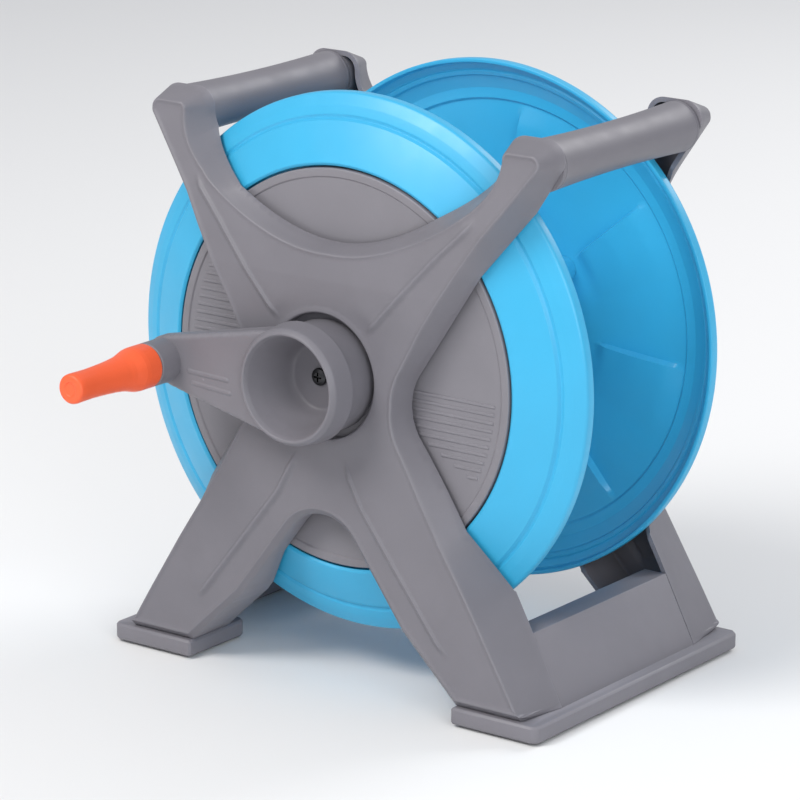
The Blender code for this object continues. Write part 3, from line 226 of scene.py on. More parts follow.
GRIP_TIP = 0.0092
PIN_RADIUS = 0.0040
PIN_HEAD_RADIUS = 0.0062

# Water inlet and outlet
INLET_START = 0.0900
INLET_END = 0.1400
INLET_PLATE = 0.0027
INLET_NUT = 0.0050
INLET_SEAL = 0.0018
INLET_FLANGE_RADIUS = 0.0145
SCREW_RADIUS = 0.0019
SCREW_HEAD_RADIUS = 0.0038
SCREW_HEAD_HEIGHT = 0.0024
THREAD_RADIUS = 0.0102
THREAD_DEPTH = 0.0006
THREAD_PITCH = 0.0013
NIPPLE_BORE = 0.0052
OUTLET_BORE = 0.0038
OUTLET_SPIGOT = 0.0058
OUTLET_COLLAR = 0.0105
OUTLET_START = 0.0150
OUTLET_STEP = 0.0281
OUTLET_END = 0.0500

# Camera and light
VIEW_AZIMUTH = math.radians(35.7)
VIEW_ELEVATION = math.radians(14.6)
VIEW_ROLL = math.radians(0.44)
VIEW_DISTANCE = 2.583
VIEW_OFFSET = (-0.0176, -0.0383)
LENS = 183.5


def arc(centre, radius, start, end, steps):
    """Points on a circle, from one angle to another in degrees."""
    turns = [math.radians(start + (end - start) * i / steps) for i in range(steps + 1)]
    return [(centre[0] + radius * math.cos(a), centre[1] + radius * math.sin(a)) for a in turns]


def curve(start, pull, end, steps):
    """Points on a quadratic curve, without its start."""
    shares = [i / steps for i in range(1, steps + 1)]
    return [tuple((1 - t) ** 2 * a + 2 * t * (1 - t) * b + t * t * c for a, b, c in zip(start, pull, end))
            for t in shares]


def circle(radius, steps=ROUND, centre=(0, 0)):
    """Points round a full circle, the first one not repeated."""
    return np.array(arc(centre, radius, 0, 360, steps)[:-1])


def closed(loop):
    """The loop with its first point once more at its end."""
    return np.concatenate([loop, loop[:1]])


def mirrored(points):
    """The points moved to the right half."""
    return np.stack([np.abs(points[:, 0]), points[:, 1]], axis=1)


def spaced(line, spacing):
    """The same line with further points, so that no stretch is longer than the spacing."""
    line = np.array(line, float)
    points = []
    for start, end in zip(line, line[1:]):
        count = max(1, math.ceil(np.linalg.norm((end - start)[:2]) / spacing))
        points += [start + (end - start) * i / count for i in range(count)]
    return np.array(points + [line[-1]])


def inset(loop, distance):
    """Closed clockwise loop moved inwards; distance is one number or one for each point."""
    along = np.roll(loop, -1, axis=0) - loop
    along = along / np.linalg.norm(along, axis=1)[:, None]
    after = np.stack([along[:, 1], -along[:, 0]], axis=1)
    before = np.roll(after, 1, axis=0)
    middle = before + after
    middle = middle / np.linalg.norm(middle, axis=1)[:, None]
    lean = np.maximum(0.5, np.einsum("ij,ij->i", middle, before))
    return loop + middle * (np.broadcast_to(distance, len(loop)) / lean)[:, None]


def nearest(points, line):
    """For each point the nearest stretch of a line, the share along that stretch, and the distance."""
    best = np.full(len(points), np.inf)
    stretch = np.zeros(len(points), int)
    shares = np.zeros(len(points))
    for number, (start, end) in enumerate(zip(line, line[1:])):
        along = end - start
        share = np.clip(((points - start) @ along) / max(along @ along, 1e-18), 0, 1)
        away = points - start - share[:, None] * along
        square = np.einsum("ij,ij->i", away, away)
        near = square < best
        best[near] = square[near]
        stretch[near] = number
        shares[near] = share[near]
    return stretch, shares, np.sqrt(best)


def distance_to(points, line):
    """Distance from each point to a line of straight stretches."""
    return nearest(points, line)[2]


def within(points, loop):
    """Which points lie inside a closed loop."""
    found = np.zeros(len(points), bool)
    for (x0, z0), (x1, z1) in zip(loop, np.roll(loop, -1, axis=0)):
        if z0 == z1:
            continue
        crosses = (z0 > points[:, 1]) != (z1 > points[:, 1])
        found ^= crosses & (points[:, 0] < (x1 - x0) * (points[:, 1] - z0) / (z1 - z0) + x0)
    return found


def trimmed(line, loop, margin=0.0006):
    """Stretches of a line that lie inside a loop, clear of its edge."""
    good = within(line, loop) & (distance_to(line, closed(loop)) > margin)
    runs = []
    run = []
    for point, kept in zip(line, good):
        if kept:
            run.append(point)
        elif run:
            runs.append(run)
            run = []
    runs.append(run)
    return [np.array(stretch) for stretch in runs if len(stretch) > 1]


def triangulate(outline, holes=(), lines=(), loose=()):
    """Triangles between an outline and its holes, with the lines kept as edges."""
    points = []
    edges = []
    loops = [outline, *holes]
    for number, line in enumerate([*loops, *lines]):
        first = len(points)
        points += list(line)
        edges += [(first + i, first + i + 1) for i in range(len(line) - 1)]
        if number < len(loops):
            edges.append((first + len(line) - 1, first))
    fixed = np.array(points)
    low, high = outline.min(axis=0), outline.max(axis=0)
    rows = []
    for row, z in enumerate(np.arange(low[1], high[1], SPACING * math.sqrt(3) / 2)):
        x = np.arange(low[0] + (row % 2) * SPACING / 2, high[0], SPACING)
        rows.append(np.stack([x, np.full(len(x), z)], axis=1))
    grid = np.concatenate(rows)
    grid = grid[within(grid, outline) & (distance_to(grid, closed(outline)) > 0.6 * SPACING)]
    for line in [*holes, *lines]:
        grid = grid[distance_to(grid, line) > 0.5 * SPACING]
    for line in loose:
        inner = line[within(line, outline) & (distance_to(line, closed(outline)) > 0.00015)]
        grid = np.concatenate([grid, inner])
    for hole in holes:
        grid = grid[~within(grid, hole)]
    found = delaunay_2d_cdt([Vector(p) for p in np.concatenate([fixed, grid])], edges, [], 0, 1e-7)
    points = np.array([point[:] for point in found[0]])
    triangles = np.array([face[:] for face in found[2]])
    middles = points[triangles].mean(axis=1)
    keep = within(middles, outline)
    for hole in holes:
        keep &= ~within(middles, hole)
    return points, triangles[keep]


def raised(flat, depth):
    """Points (x, depth, z) of a flat triangulation."""
    return np.stack([flat[:, 0], np.broadcast_to(depth, len(flat)), flat[:, 1]], axis=1)


def strip(near, far):
    """Faces between two rings of points."""
    count = len(near)
    faces = [(i, (i + 1) % count, count + (i + 1) % count, count + i) for i in range(count)]
    return np.concatenate([near, far]), faces


def lathe(profile, steps=ROUND, lift=None):
    """Rows of faces of a profile of (radius, depth) points turned about the axis."""
    turns = np.arange(steps) * 2 * math.pi / steps
    parts = []
    rows = []
    for radius, depth in profile:
        depths = np.full(steps, depth)
        if lift is not None:
            depths = depths + lift(radius, depth, turns)
        rows.append(np.stack([radius * np.cos(turns), depths, radius * np.sin(turns)], axis=1))
    for (near, far), (start, end) in zip(zip(rows, rows[1:]), zip(profile, profile[1:])):
        if start[0] < 1e-6 and end[0] < 1e-6:
            continue
        if start[0] < 1e-6 or end[0] < 1e-6:
            ring = far if start[0] < 1e-6 else near
            parts.append((ring, [tuple(range(steps))]))
            continue
        parts.append(strip(near, far))
    return parts


def softened(profile, steps=CORNER_STEPS):
    """Profile whose points may hold a third number, the radius that rounds that corner."""
    points = []
    for i, point in enumerate(profile):
        here = Vector(point[:2])
        if len(point) < 3:
            points.append(tuple(here))
            continue
        before = Vector(profile[i - 1][:2]) - here
        after = Vector(profile[(i + 1) % len(profile)][:2]) - here
        reach = point[2] / math.tan(max(before.angle(after) / 2, 0.2))
        start = here + before.normalized() * min(reach, 0.48 * before.length)
        end = here + after.normalized() * min(reach, 0.48 * after.length)
        points.append(tuple(start))
        points += curve(start, here, end, steps)
    return points


def rod(radius, low, high):
    """Profile of a plain cylinder between two depths."""
    return [(0, low), (radius, low), (radius, high), (0, high)]


def to_mesh(name, parts, side=1, centre=AXIS, sharp=30, turn=None):
    """Mesh of several parts of (x, depth, z) points, joined where they meet."""
    bm = bmesh.new()
    for points, faces in parts:
        made = [bm.verts.new((x, side * depth, z)) for x, depth, z in points]
        for face in faces:
            try:
                bm.faces.new([made[i] for i in face])
            except ValueError:
                continue
    bmesh.ops.remove_doubles(bm, verts=bm.verts, dist=1e-6)
    bmesh.ops.dissolve_degenerate(bm, edges=bm.edges, dist=1e-7)
    bmesh.ops.recalc_face_normals(bm, faces=bm.faces)
    if turn:
        bmesh.ops.transform(bm, verts=bm.verts, matrix=turn)
    bmesh.ops.translate(bm, verts=bm.verts, vec=centre)
    mesh = bpy.data.meshes.new(name)
    bm.to_mesh(mesh)
    bm.free()
    mesh.shade_smooth()
    mesh.set_sharp_from_angle(angle=math.radians(sharp))
    return mesh


def placed(name, data):
    """New object in the scene."""
    made = bpy.data.objects.new(name, data)
    bpy.context.scene.collection.objects.link(made)
    return made


def solid(name, parts, **places):
    """Loose object that holds a mesh of parts."""
    return placed(name, to_mesh(name, parts, **places))


def turned(name, profile, steps=SMALL_ROUND, **places):
    """Loose object turned from a closed profile with rounded corners."""
    rows = softened(profile)
    if rows[0][0] > 1e-6 or rows[-1][0] > 1e-6:
        rows = rows + rows[:1]
    return solid(name, lathe(rows, steps), **places)


def apply_modifiers(target, sharp=30):
    bpy.context.view_layer.update()
    evaluated = target.evaluated_get(bpy.context.evaluated_depsgraph_get())
    mesh = bpy.data.meshes.new_from_object(evaluated)
    target.modifiers.clear()
    target.data = mesh
    mesh.shade_smooth()
    mesh.set_sharp_from_angle(angle=math.radians(sharp))


def combine(target, others, operation, sharp=30):
    """Join or cut a piece with helper solids, which are used up."""
    for other in others:
        step = target.modifiers.new(other.name, "BOOLEAN")
        step.operation = operation
        step.object = other
        step.solver = "EXACT"
    apply_modifiers(target, sharp)
    for other in others:
        bpy.data.objects.remove(other, do_unlink=True)


def prism(name, corners, start, end, **places):
    """Loose solid with straight sides along the axis, from its (x, z) corners and two depths."""
    near = raised(np.array(corners), start)
    far = raised(np.array(corners), end)
    cap = [tuple(range(len(corners)))]
    return solid(name, [strip(near, far), (near, cap), (far, cap)], **places)


def block(name, low, high, centre=AXIS):
    """Loose box between two corners of (x, depth, z)."""
    corners = [(low[0], low[2]), (high[0], low[2]), (high[0], high[2]), (low[0], high[2])]
    return prism(name, corners, low[1], high[1], centre=centre)


def hexagon(name, flat, start, length):
    """Six-sided prism about the axis on the crank side."""
    return prism(name, circle(flat / math.cos(math.pi / 6), 6), start, start + length, side=-1)


def dress(made, body, slot, node_name, finish=None):
    """Give a piece the finish of its slot or the finish named, put it under its body, and hide the imported node
    that it stands for.
    """
    made.data.materials.clear()
    made.data.materials.append(FINISHES[finish or slot])
    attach(made, body)
    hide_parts(node_name)


def node(tree, kind, **inputs):
    """Shader node with some of its inputs set."""
    made = tree.nodes.new(kind)
    for key, value in inputs.items():
        made.inputs[key.replace("_", " ")].default_value = value
    return made


def noise(tree, scale, detail, stretch=None):
    """Noise in the piece's own rest coordinates."""
    place = tree.nodes.new("ShaderNodeTexCoord")
    made = node(tree, "ShaderNodeTexNoise", Scale=scale, Detail=detail)
    source = place.outputs["Object"]
    if stretch:
        mapping = node(tree, "ShaderNodeMapping", Scale=stretch)
        tree.links.new(source, mapping.inputs["Vector"])
        source = mapping.outputs["Vector"]
    tree.links.new(source, made.inputs["Vector"])
    return made.outputs["Fac"]


def between(tree, value, low, high, start=0.3, stop=0.7):
    """The value spread from one range to another."""
    made = node(tree, "ShaderNodeMapRange", From_Min=start, From_Max=stop, To_Min=low, To_Max=high)
    tree.links.new(value, made.inputs["Value"])
    return made.outputs["Result"]


def blend(tree, factor, first, second):
    """Mix of two colours, each a colour or a socket."""
    made = tree.nodes.new("ShaderNodeMix")
    made.data_type = "RGBA"
    for name, colour in (("A", first), ("B", second)):
        socket = [entry for entry in made.inputs if entry.name == name and entry.type == "RGBA"][0]
        if isinstance(colour, tuple):
            socket.default_value = (*colour, 1)
        else:
            tree.links.new(colour, socket)
    factor_in = [entry for entry in made.inputs if entry.name == "Factor" and entry.type == "VALUE"][0]
    tree.links.new(factor, factor_in)
    return [entry for entry in made.outputs if entry.type == "RGBA"][0]


def finish_of(name, colour, roughness, grain=1400, grain_depth=0.00004, mottle=0.05, painted_highlight=0.0, metallic=0.0,
              stretch=None):
    """Procedural finish: fine grain, faint mottling of colour and gloss, and a painted highlight that makes sharp
    edges paler.
    """
    made = bpy.data.materials.new(name)
    made.use_nodes = True
    tree = made.node_tree
    shader = tree.nodes["Principled BSDF"]
    shader.inputs["Metallic"].default_value = metallic
    dark = tuple(c * (1 - mottle) for c in colour)
    light = tuple(min(1, c * (1 + mottle)) for c in colour)
    tone = blend(tree, between(tree, noise(tree, 24, 4), 0, 1), dark, light)
    surface = blend(tree, between(tree, noise(tree, grain, 2, stretch), 0, 0.35), tone, dark)
    # Painted highlight: sharp convex edges are mixed towards a paler colour, standing in for the light that
    # rounded edges catch.
    if painted_highlight:
        edge = tree.nodes.new("ShaderNodeNewGeometry").outputs["Pointiness"]
        highlight_colour = tuple(min(1, c * 1.5 + 0.015) for c in colour)
        surface = blend(tree, between(tree, edge, 0, painted_highlight, 0.52, 0.60), surface, highlight_colour)
    tree.links.new(surface, shader.inputs["Base Color"])
    gloss = between(tree, noise(tree, 60, 5), roughness - 0.05, roughness + 0.05)
    tree.links.new(gloss, shader.inputs["Roughness"])
    bump = node(tree, "ShaderNodeBump", Strength=0.6, Distance=grain_depth)
    tree.links.new(noise(tree, grain, 3, stretch), bump.inputs["Height"])
    tree.links.new(bump.outputs["Normal"], shader.inputs["Normal"])
    return made


LOOKS = {
    # Frame and cover plastics carry a painted highlight on their sharp edges, of the strength given after their
    # roughness.
    "frame_plastic": dict(colour=(0.170, 0.163, 0.184), roughness=0.50, painted_highlight=0.6),
    "cover_plastic": dict(colour=(0.200, 0.192, 0.214), roughness=0.46, painted_highlight=0.4),
    "drum_plastic": dict(colour=(0.040, 0.400, 0.670), roughness=0.36, grain=900, grain_depth=0.00002,
                         mottle=0.03),
    "grip_plastic": dict(colour=(0.880, 0.120, 0.035), roughness=0.42, grain=1100, mottle=0.04),
    "natural_plastic": dict(colour=(0.720, 0.710, 0.670), roughness=0.40, grain=700, mottle=0.03),
    "rubber": dict(colour=(0.022, 0.022, 0.024), roughness=0.78, grain=2200, grain_depth=0.00008,
                   mottle=0.15),
    "steel": dict(colour=(0.600, 0.600, 0.620), roughness=0.34, grain=500, grain_depth=0.00001, mottle=0.06,
                  metallic=1.0, stretch=(1.0, 1.0, 12.0)),
    # Near-black steel: painted shade for the screw deep in the crank's cup.
    "cup_shade_steel": dict(colour=(0.060, 0.060, 0.064), roughness=0.45, grain=500, grain_depth=0.00001,
                        mottle=0.08, metallic=1.0),
}
FINISHES = {name: finish_of(name, **look) for name, look in LOOKS.items()}


def face_level(points):
    """Depth of the domed outer face, without its steps and edges."""
    return np.interp(points[:, 1], FACE_HEIGHTS, FACE_DEPTHS)


def back_depth(points):
    """Depth of the frame's back, which keeps clear of the drum."""
    reach = np.linalg.norm(points[:, :2], axis=1)
    slope = np.interp(reach, [CLEAR_INNER[0], CLEAR_OUTER[0]], [CLEAR_INNER[1], CLEAR_OUTER[1]])
    return np.where(reach > CLEAR_OUTER[0] + 1e-6, INNER_DEPTH, slope)


def notch_rows():
    """Upper notch as rows of x, z, how far the wall leans inwards and whether it starts near the face."""
    top = (BAR_X - ELBOW_INNER, BAR_Z + ELBOW_HALF - ELBOW_CORNER)
    points = [(0, NOTCH_Z)] + curve((0, NOTCH_Z), (NOTCH_PULL_X, NOTCH_Z), NOTCH_SIDE, 24)
    points += curve(NOTCH_SIDE, NOTCH_UPPER_PULL, top, 16)
    return [(x, z, np.interp(x, [0, NOTCH_SIDE[0]], [NOTCH_LOW_LEAN, NOTCH_LEAN]), 0) for x, z in points]


def elbow_rows():
    """Rounded top of an elbow, as rows of the same kind."""
    height = BAR_Z + ELBOW_HALF - ELBOW_CORNER
    inner = arc((BAR_X - ELBOW_INNER + ELBOW_CORNER, height), ELBOW_CORNER, 180, 90, 14)[1:]
    points = inner + arc((BAR_X + ELBOW_HALF - ELBOW_CORNER, height), ELBOW_CORNER, 90, -33, 20)
    leans = np.linspace(NOTCH_LEAN, ELBOW_LEAN, len(points))
    return [(x, z, lean, 0) for (x, z), lean in zip(points, leans)]


def lower_rows():
    """Waist, outer edge of the leg, foot and arch, as rows of the same kind."""
    waist = arc(WAIST, WAIST_RADIUS, 180 - WAIST_TURN, 180 + WAIST_TURN, 20)
    elbow_end = np.array(elbow_rows()[-1][:2])
    side = [elbow_end * (1 - share) + np.array(waist[0]) * share for share in SIDE_SHARES]
    outer = side + waist + curve(waist[-1], LEG_PULL, LEG_OUTER, 24)
    rows = [(x, z, np.interp(z, SIDE_LEAN_HEIGHTS, SIDE_LEANS), 0) for x, z in outer]
    arch = [(LEG_OUTER[0] - FOOT_EDGE, LEG_OUTER[1]), (LEG_INNER_X, LEG_OUTER[1]), LEG_KNEE]
    arch += arc((0, ARCH_Z - ARCH_RADIUS), ARCH_RADIUS, 36, 90, 18)
    return rows + [(x, z, ARCH_LEAN, 1) for x, z in arch]


def frame_outline():
    """Outline of the X-shaped frame, clockwise from the bottom of the upper notch, with its leans."""
    half = notch_rows() + elbow_rows() + lower_rows()
    full = half + [(-x, z, lean, high) for x, z, lean, high in reversed(half) if abs(x) > 1e-9]
    return spaced(closed(np.array(full)), 2.2 * SPACING)[:-1]


def beside(points, rows):
    """Distance from each point to the outline, and the lean and start of the wall at the nearest spot."""
    ring = closed(rows)
    stretch, shares, distance = nearest(points, ring[:, :2])
    start = ring[stretch, 2:]
    values = start + shares[:, None] * (ring[stretch + 1, 2:] - start)
    return distance, values[:, 0], values[:, 1]


def smooth_step(value, start, stop):
    """Smooth rise from 0 to 1 between two values."""
    share = np.clip((value - start) / (stop - start), 0, 1)
    return share * share * (3 - 2 * share)


def rounded_drop(edge, radius):
    """How far a rounded edge has fallen at a distance from the outline."""
    left = radius - np.clip(edge, 0, radius)
    return radius - np.sqrt(np.maximum(0, radius ** 2 - left ** 2))


def beyond(points, line):
    """Signed distance from a line, and the share of the line's length at the nearest spot."""
    line = np.array(line)
    stretch, shares, distance = nearest(points, line)
    start = line[stretch]
    along = line[stretch + 1] - start
    away = points - start
    side = np.sign(along[:, 0] * away[:, 1] - along[:, 1] * away[:, 0])
    lengths = np.concatenate([[0], np.cumsum(np.linalg.norm(np.diff(line, axis=0), axis=1))])
    reached = lengths[stretch] + shares * (lengths[stretch + 1] - lengths[stretch])
    return side * distance, reached / lengths[-1]


def step_height(points):
    """Low steps along the arms and legs: each rises from the outer or arch side to a narrow crest."""
    height = np.zeros(len(points))
    for line in (ARM_STEP, LEG_STEP):
        inward, share = beyond(mirrored(points), line)
        fall = STEP_CREST_SHARE * smooth_step(inward, *STEP_CREST)
        fall = fall + (1 - STEP_CREST_SHARE) * smooth_step(inward, STEP_CREST[1], STEP_FADE)
        rise = smooth_step(inward, -STEP_WIDTH / 2, STEP_WIDTH / 2) * (1 - fall)
        ends = smooth_step(share, 0, STEP_ENDS) * (1 - smooth_step(share, 1 - STEP_ENDS, 1))
        height = np.maximum(height, STEP_HEIGHT * rise * ends)
    return height


def face_depth(points, rows):
    """Depth of the frame's outer face, whose walls lean in from the outline."""
    edge, lean, high = beside(points, rows)
    bead = EDGE_BEAD * np.exp(-((edge - lean - BEAD_PLACE) / BEAD_WIDTH) ** 2)
    level = face_level(points) + step_height(points) + bead
    start = np.maximum(back_depth(points) + RIM_HEIGHT, INNER_DEPTH + LEAN_START)
    start = start * (1 - high) + (level - lean) * high
    wall = start + (level - start) * edge / lean
    mix = np.clip(0.5 + 0.5 * (level - wall) / EDGE_SOFT, 0, 1)
    return level * (1 - mix) + wall * mix - EDGE_SOFT * mix * (1 - mix)


def crossings(loop, radius):
    """The loop with a point added wherever it crosses a circle about the axis."""
    points = []
    for start, end in zip(loop, np.roll(loop, -1, axis=0)):
        points.append(start)
        a = np.linalg.norm(start[:2]) - radius
        b = np.linalg.norm(end[:2]) - radius
        if a * b < 0:
            share = a / (a - b)
            if 0.02 < share < 0.98:
                points.append(start + (end - start) * share)
    return np.array(points)


def shell_back(outline, holes, lines, front, back, pocket):
    """Back of a shell: its rim and solid parts lie on one surface, its pockets a wall behind the face."""
    flat, triangles = triangulate(outline, holes, lines)
    hollow = pocket(flat[triangles].mean(axis=1))
    rim_points = raised(flat, back(flat))
    deep_points = raised(flat, front(flat) - WALL)
    owners = {}
    for number, triangle in enumerate(triangles):
        for a, b in zip(triangle, np.roll(triangle, -1)):
            owners.setdefault((min(a, b), max(a, b)), []).append(number)
    walls = []
    for (a, b), faces in owners.items():
        if len(faces) == 2 and hollow[faces[0]] != hollow[faces[1]]:
            walls.append((a, b, b + len(flat), a + len(flat)))
    full = [tuple(t) for t in triangles[~hollow]]
    sunk = [tuple(t + len(flat)) for t in triangles[hollow]]
    return np.concatenate([rim_points, deep_points]), full + sunk + walls


def hub_profile(side):
    """Hub from the edge of its hole in the face, through the bush hole to the back."""
    if side < 0:
        top = [(RECESS_RADIUS, HUB_DEPTH, 0.0016), (RECESS_RADIUS, RECESS_DEPTH), (BUSH_TUBE, RECESS_DEPTH),
               (BUSH_TUBE, BEARING_END, 0.0006), (BUSH_HOLE, BEARING_END, 0.0006)]
    else:
        top = [(INLET_RING_OUTER, HUB_DEPTH + INLET_RING_STEP, 0.0008),
               (INLET_RING_OUTER, INLET_RING_DEPTH, 0.0012), (RECESS_RADIUS, INLET_RING_DEPTH, 0.0012),
               (RECESS_RADIUS, BEARING_END), (BUSH_HOLE, BEARING_END)]
    end = [(BUSH_HOLE, BUSH_STEP), (BUSH_LIP_HOLE, BUSH_STEP), (BUSH_LIP_HOLE, CLEAR_INNER[1])]
    return softened([(HUB_HOLE, HUB_DEPTH)] + top + end)[1:]


def step_lines():
    """Lines along every step, to be kept as edges of the mesh."""
    lines = []
    for line in (ARM_STEP, LEG_STEP):
        line = spaced(line, 2 * SPACING)
        along = np.gradient(line, axis=0)
        across = np.stack([-along[:, 1], along[:, 0]], axis=1) / np.linalg.norm(along, axis=1)[:, None]
        for shift in STEP_RINGS:
            for sign in (1, -1):
                lines.append((line + across * shift) * (sign, 1))
    return lines


def frame_parts(side):
    """Moulded X frame: domed outer face with its steps, leaning side walls, hub and hollow back."""
    rows = frame_outline()
    for reach in (CLEAR_INNER[0], CLEAR_OUTER[0]):
        rows = crossings(rows, reach)
    outline = rows[:, :2]
    lean = rows[:, 2]
    inner = inset(outline, WALL)
    hole = circle(HUB_HOLE)
    rings = [inset(outline, lean * share) for share in WALL_RINGS]
    rings += [inset(outline, lean + shift) for shift in EDGE_RINGS]
    lines = []
    for ring in rings:
        lines += trimmed(closed(ring), outline)
    for line in step_lines():
        lines += trimmed(line, inset(outline, lean + STEP_MARGIN))

    def front(points):
        return face_depth(points, rows)

    def pocket(points):
        hollow = within(points, inner) & (np.linalg.norm(points, axis=1) > SOLID_RADIUS)
        return hollow & (np.linalg.norm(mirrored(points) - (BAR_X, BAR_Z), axis=1) > ELBOW_BOSS)

    flat, triangles = triangulate(outline, [hole], lines)
    face = (raised(flat, front(flat)), [tuple(t) for t in triangles])
    rim = strip(raised(outline, front(outline)), raised(outline, back_depth(outline)))
    hub_rows = hub_profile(side)
    radius, depth = hub_rows[0]
    hub = [strip(raised(hole, front(hole)), raised(circle(radius), depth))] + lathe(hub_rows)
    elbows = [circle(ELBOW_BOSS, 48, (sign * BAR_X, BAR_Z)) for sign in (1, -1)]
    arcs = [circle(reach, 3 * ROUND) for reach in (CLEAR_INNER[0], SOLID_RADIUS, CLEAR_OUTER[0])]
    lines = []
    for ring in arcs + elbows:
        lines += trimmed(closed(ring), outline)
    lines.append(closed(inner))
    back = shell_back(outline, [circle(BUSH_LIP_HOLE)], lines, front, back_depth, pocket)
    return [face, rim, back] + hub


def frames():
    for name, side in (("front_frame", -1), ("rear_frame", 1)):
        made = solid(name + "_shell", frame_parts(side), side=side, sharp=50)
        dress(made, "stand", "frame_plastic", name)


def tie_bars():
    """Round tubes between the elbows, a little thicker towards both ends, with a fine seam by each elbow."""
    end = INNER_DEPTH - GAP
    widening = BAR_END_RADIUS - BAR_RADIUS
    swell = [(BAR_RADIUS + widening * (i / 8) ** 2, (end - BAR_SEAM) * i / 8) for i in range(9)]
    seam = [(BAR_END_RADIUS - 0.0004, end - 0.0028, 0.0004), (BAR_END_RADIUS, end - 0.0021, 0.0004),
            (BAR_END_RADIUS, end, 0.0006)]
    half = swell[1:] + seam
    far_half = [(row[0], -row[1], *row[2:]) for row in reversed(half)]
    profile = [(0, -end)] + far_half + [swell[0]] + half + [(0, end)]
    for name, sign in (("tie_bar_left", -1), ("tie_bar_right", 1)):
        made = turned(name + "_tube", profile, centre=AXIS + Vector((sign * BAR_X, 0, BAR_Z)))
        dress(made, "stand", "frame_plastic", name)


def bevelled_copy(name, body, slot, width, segments=3):
    """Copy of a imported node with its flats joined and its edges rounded."""
    bm = bmesh.new()
    bm.from_mesh(frame["nodes"][name].data)
    bmesh.ops.remove_doubles(bm, verts=bm.verts, dist=1e-6)
    bmesh.ops.dissolve_limit(bm, angle_limit=math.radians(1), verts=bm.verts, edges=bm.edges)
    mesh = bpy.data.meshes.new(name + "_soft")
    bm.to_mesh(mesh)
    bm.free()
    made = placed(name + "_soft", mesh)
    step = made.modifiers.new("Rounding", "BEVEL")
    step.width = width
    step.segments = segments
    step.limit_method = "ANGLE"
    step.angle_limit = math.radians(30)
    apply_modifiers(made)
    dress(made, body, slot, name)


def base():
    """Base rails and pads with softly rounded edges."""
    for label in ("left", "right"):
        bevelled_copy("base_rail_" + label, "stand", "frame_plastic", 0.0007)
        for end in ("front", "rear"):
            bevelled_copy(f"foot_pad_{end}_{label}", "stand", "rubber", 0.0004, 2)


def flange_section():
    """Closed profile of a flange outside its centre, from the outer web round the lip to the hose side."""
    ring = COVER_RADIUS + COVER_RING_GAP
    crest = ring + CONE_EDGE
    slope = (COVER_DEPTH - RIM_DEPTH) / (FLANGE_RADIUS - crest)
    wall = FLANGE_WALL * math.sqrt(1 + slope * slope)

    def cone(radius):
        return COVER_DEPTH - slope * (radius - crest)

    def near_crease(shift, sunk, soft):
        radius = CREASE_RADIUS + shift
        return radius, cone(radius) - sunk, soft

    groove = cone(CREASE_RADIUS) - CREASE_DEPTH
    outer = [(crest + (COVER_DEPTH - WEB_DEPTH - FLANGE_WALL - wall) / slope, WEB_DEPTH + FLANGE_WALL),
             (ring, cone(ring) - wall, 0.0010), (ring, COVER_DEPTH - 0.0012, 0.0010),
             (crest, COVER_DEPTH, 0.0010), near_crease(-0.0016, 0, 0.0010),
             (CREASE_RADIUS - 0.0002, groove, 0.0005), (CREASE_RADIUS + 0.0010, groove, 0.0005),
             near_crease(0.0022, -0.0001, 0.0012), near_crease(0.0075, -0.0004, 0.0060),
             (FLANGE_RADIUS, cone(FLANGE_RADIUS), 0.0028), (FLANGE_RADIUS, LIP_DEPTH, 0.0010)]
    lip = FLANGE_RADIUS - FLANGE_WALL
    foot = crest + (COVER_DEPTH - WEB_DEPTH - wall) / slope
    start = foot - 0.0060
    inner = [(lip, LIP_DEPTH, 0.0008), (lip - 0.0008, cone(lip) - wall, 0.0016),
             near_crease(0.0070, wall, 0.0006), near_crease(0.0060, wall + CREASE_DEPTH, 0.0006),
             near_crease(0.0035, wall + CREASE_DEPTH, 0.0006), near_crease(0.0025, wall, 0.0006),
             (foot + 0.0040, WEB_DEPTH - 0.0040 * slope, 0.0010),
             (foot + 0.0005, WEB_DEPTH - RING_HEIGHT, 0.0010),
             (foot - 0.0025, WEB_DEPTH - RING_HEIGHT, 0.0008), (foot - 0.0040, WEB_DEPTH, 0.0008)]
    inner += [(start + (CORE_RADIUS - start) * i / WEB_ROWS, WEB_DEPTH) for i in range(WEB_ROWS)]
    return outer, inner


def web_lift(radius, depth, turns):
    """Radial ribs of the hose side, like the blades of a fan: one flank is steep, the other gentle."""
    if abs(depth - WEB_DEPTH) > 1e-6 or radius > WEB_RIB_OUTER or radius < WEB_RIB_INNER:
        return 0
    share = (radius - WEB_RIB_INNER) / (WEB_RIB_OUTER - WEB_RIB_INNER)
    phase = (-turns / (2 * math.pi) * WEB_RIB_COUNT - WEB_RIB_TURN) % 1
    return -WEB_RIB_HEIGHT * np.interp(share, *WEB_RIB_RISE) * np.interp(phase, *WEB_RIB_BLADE)


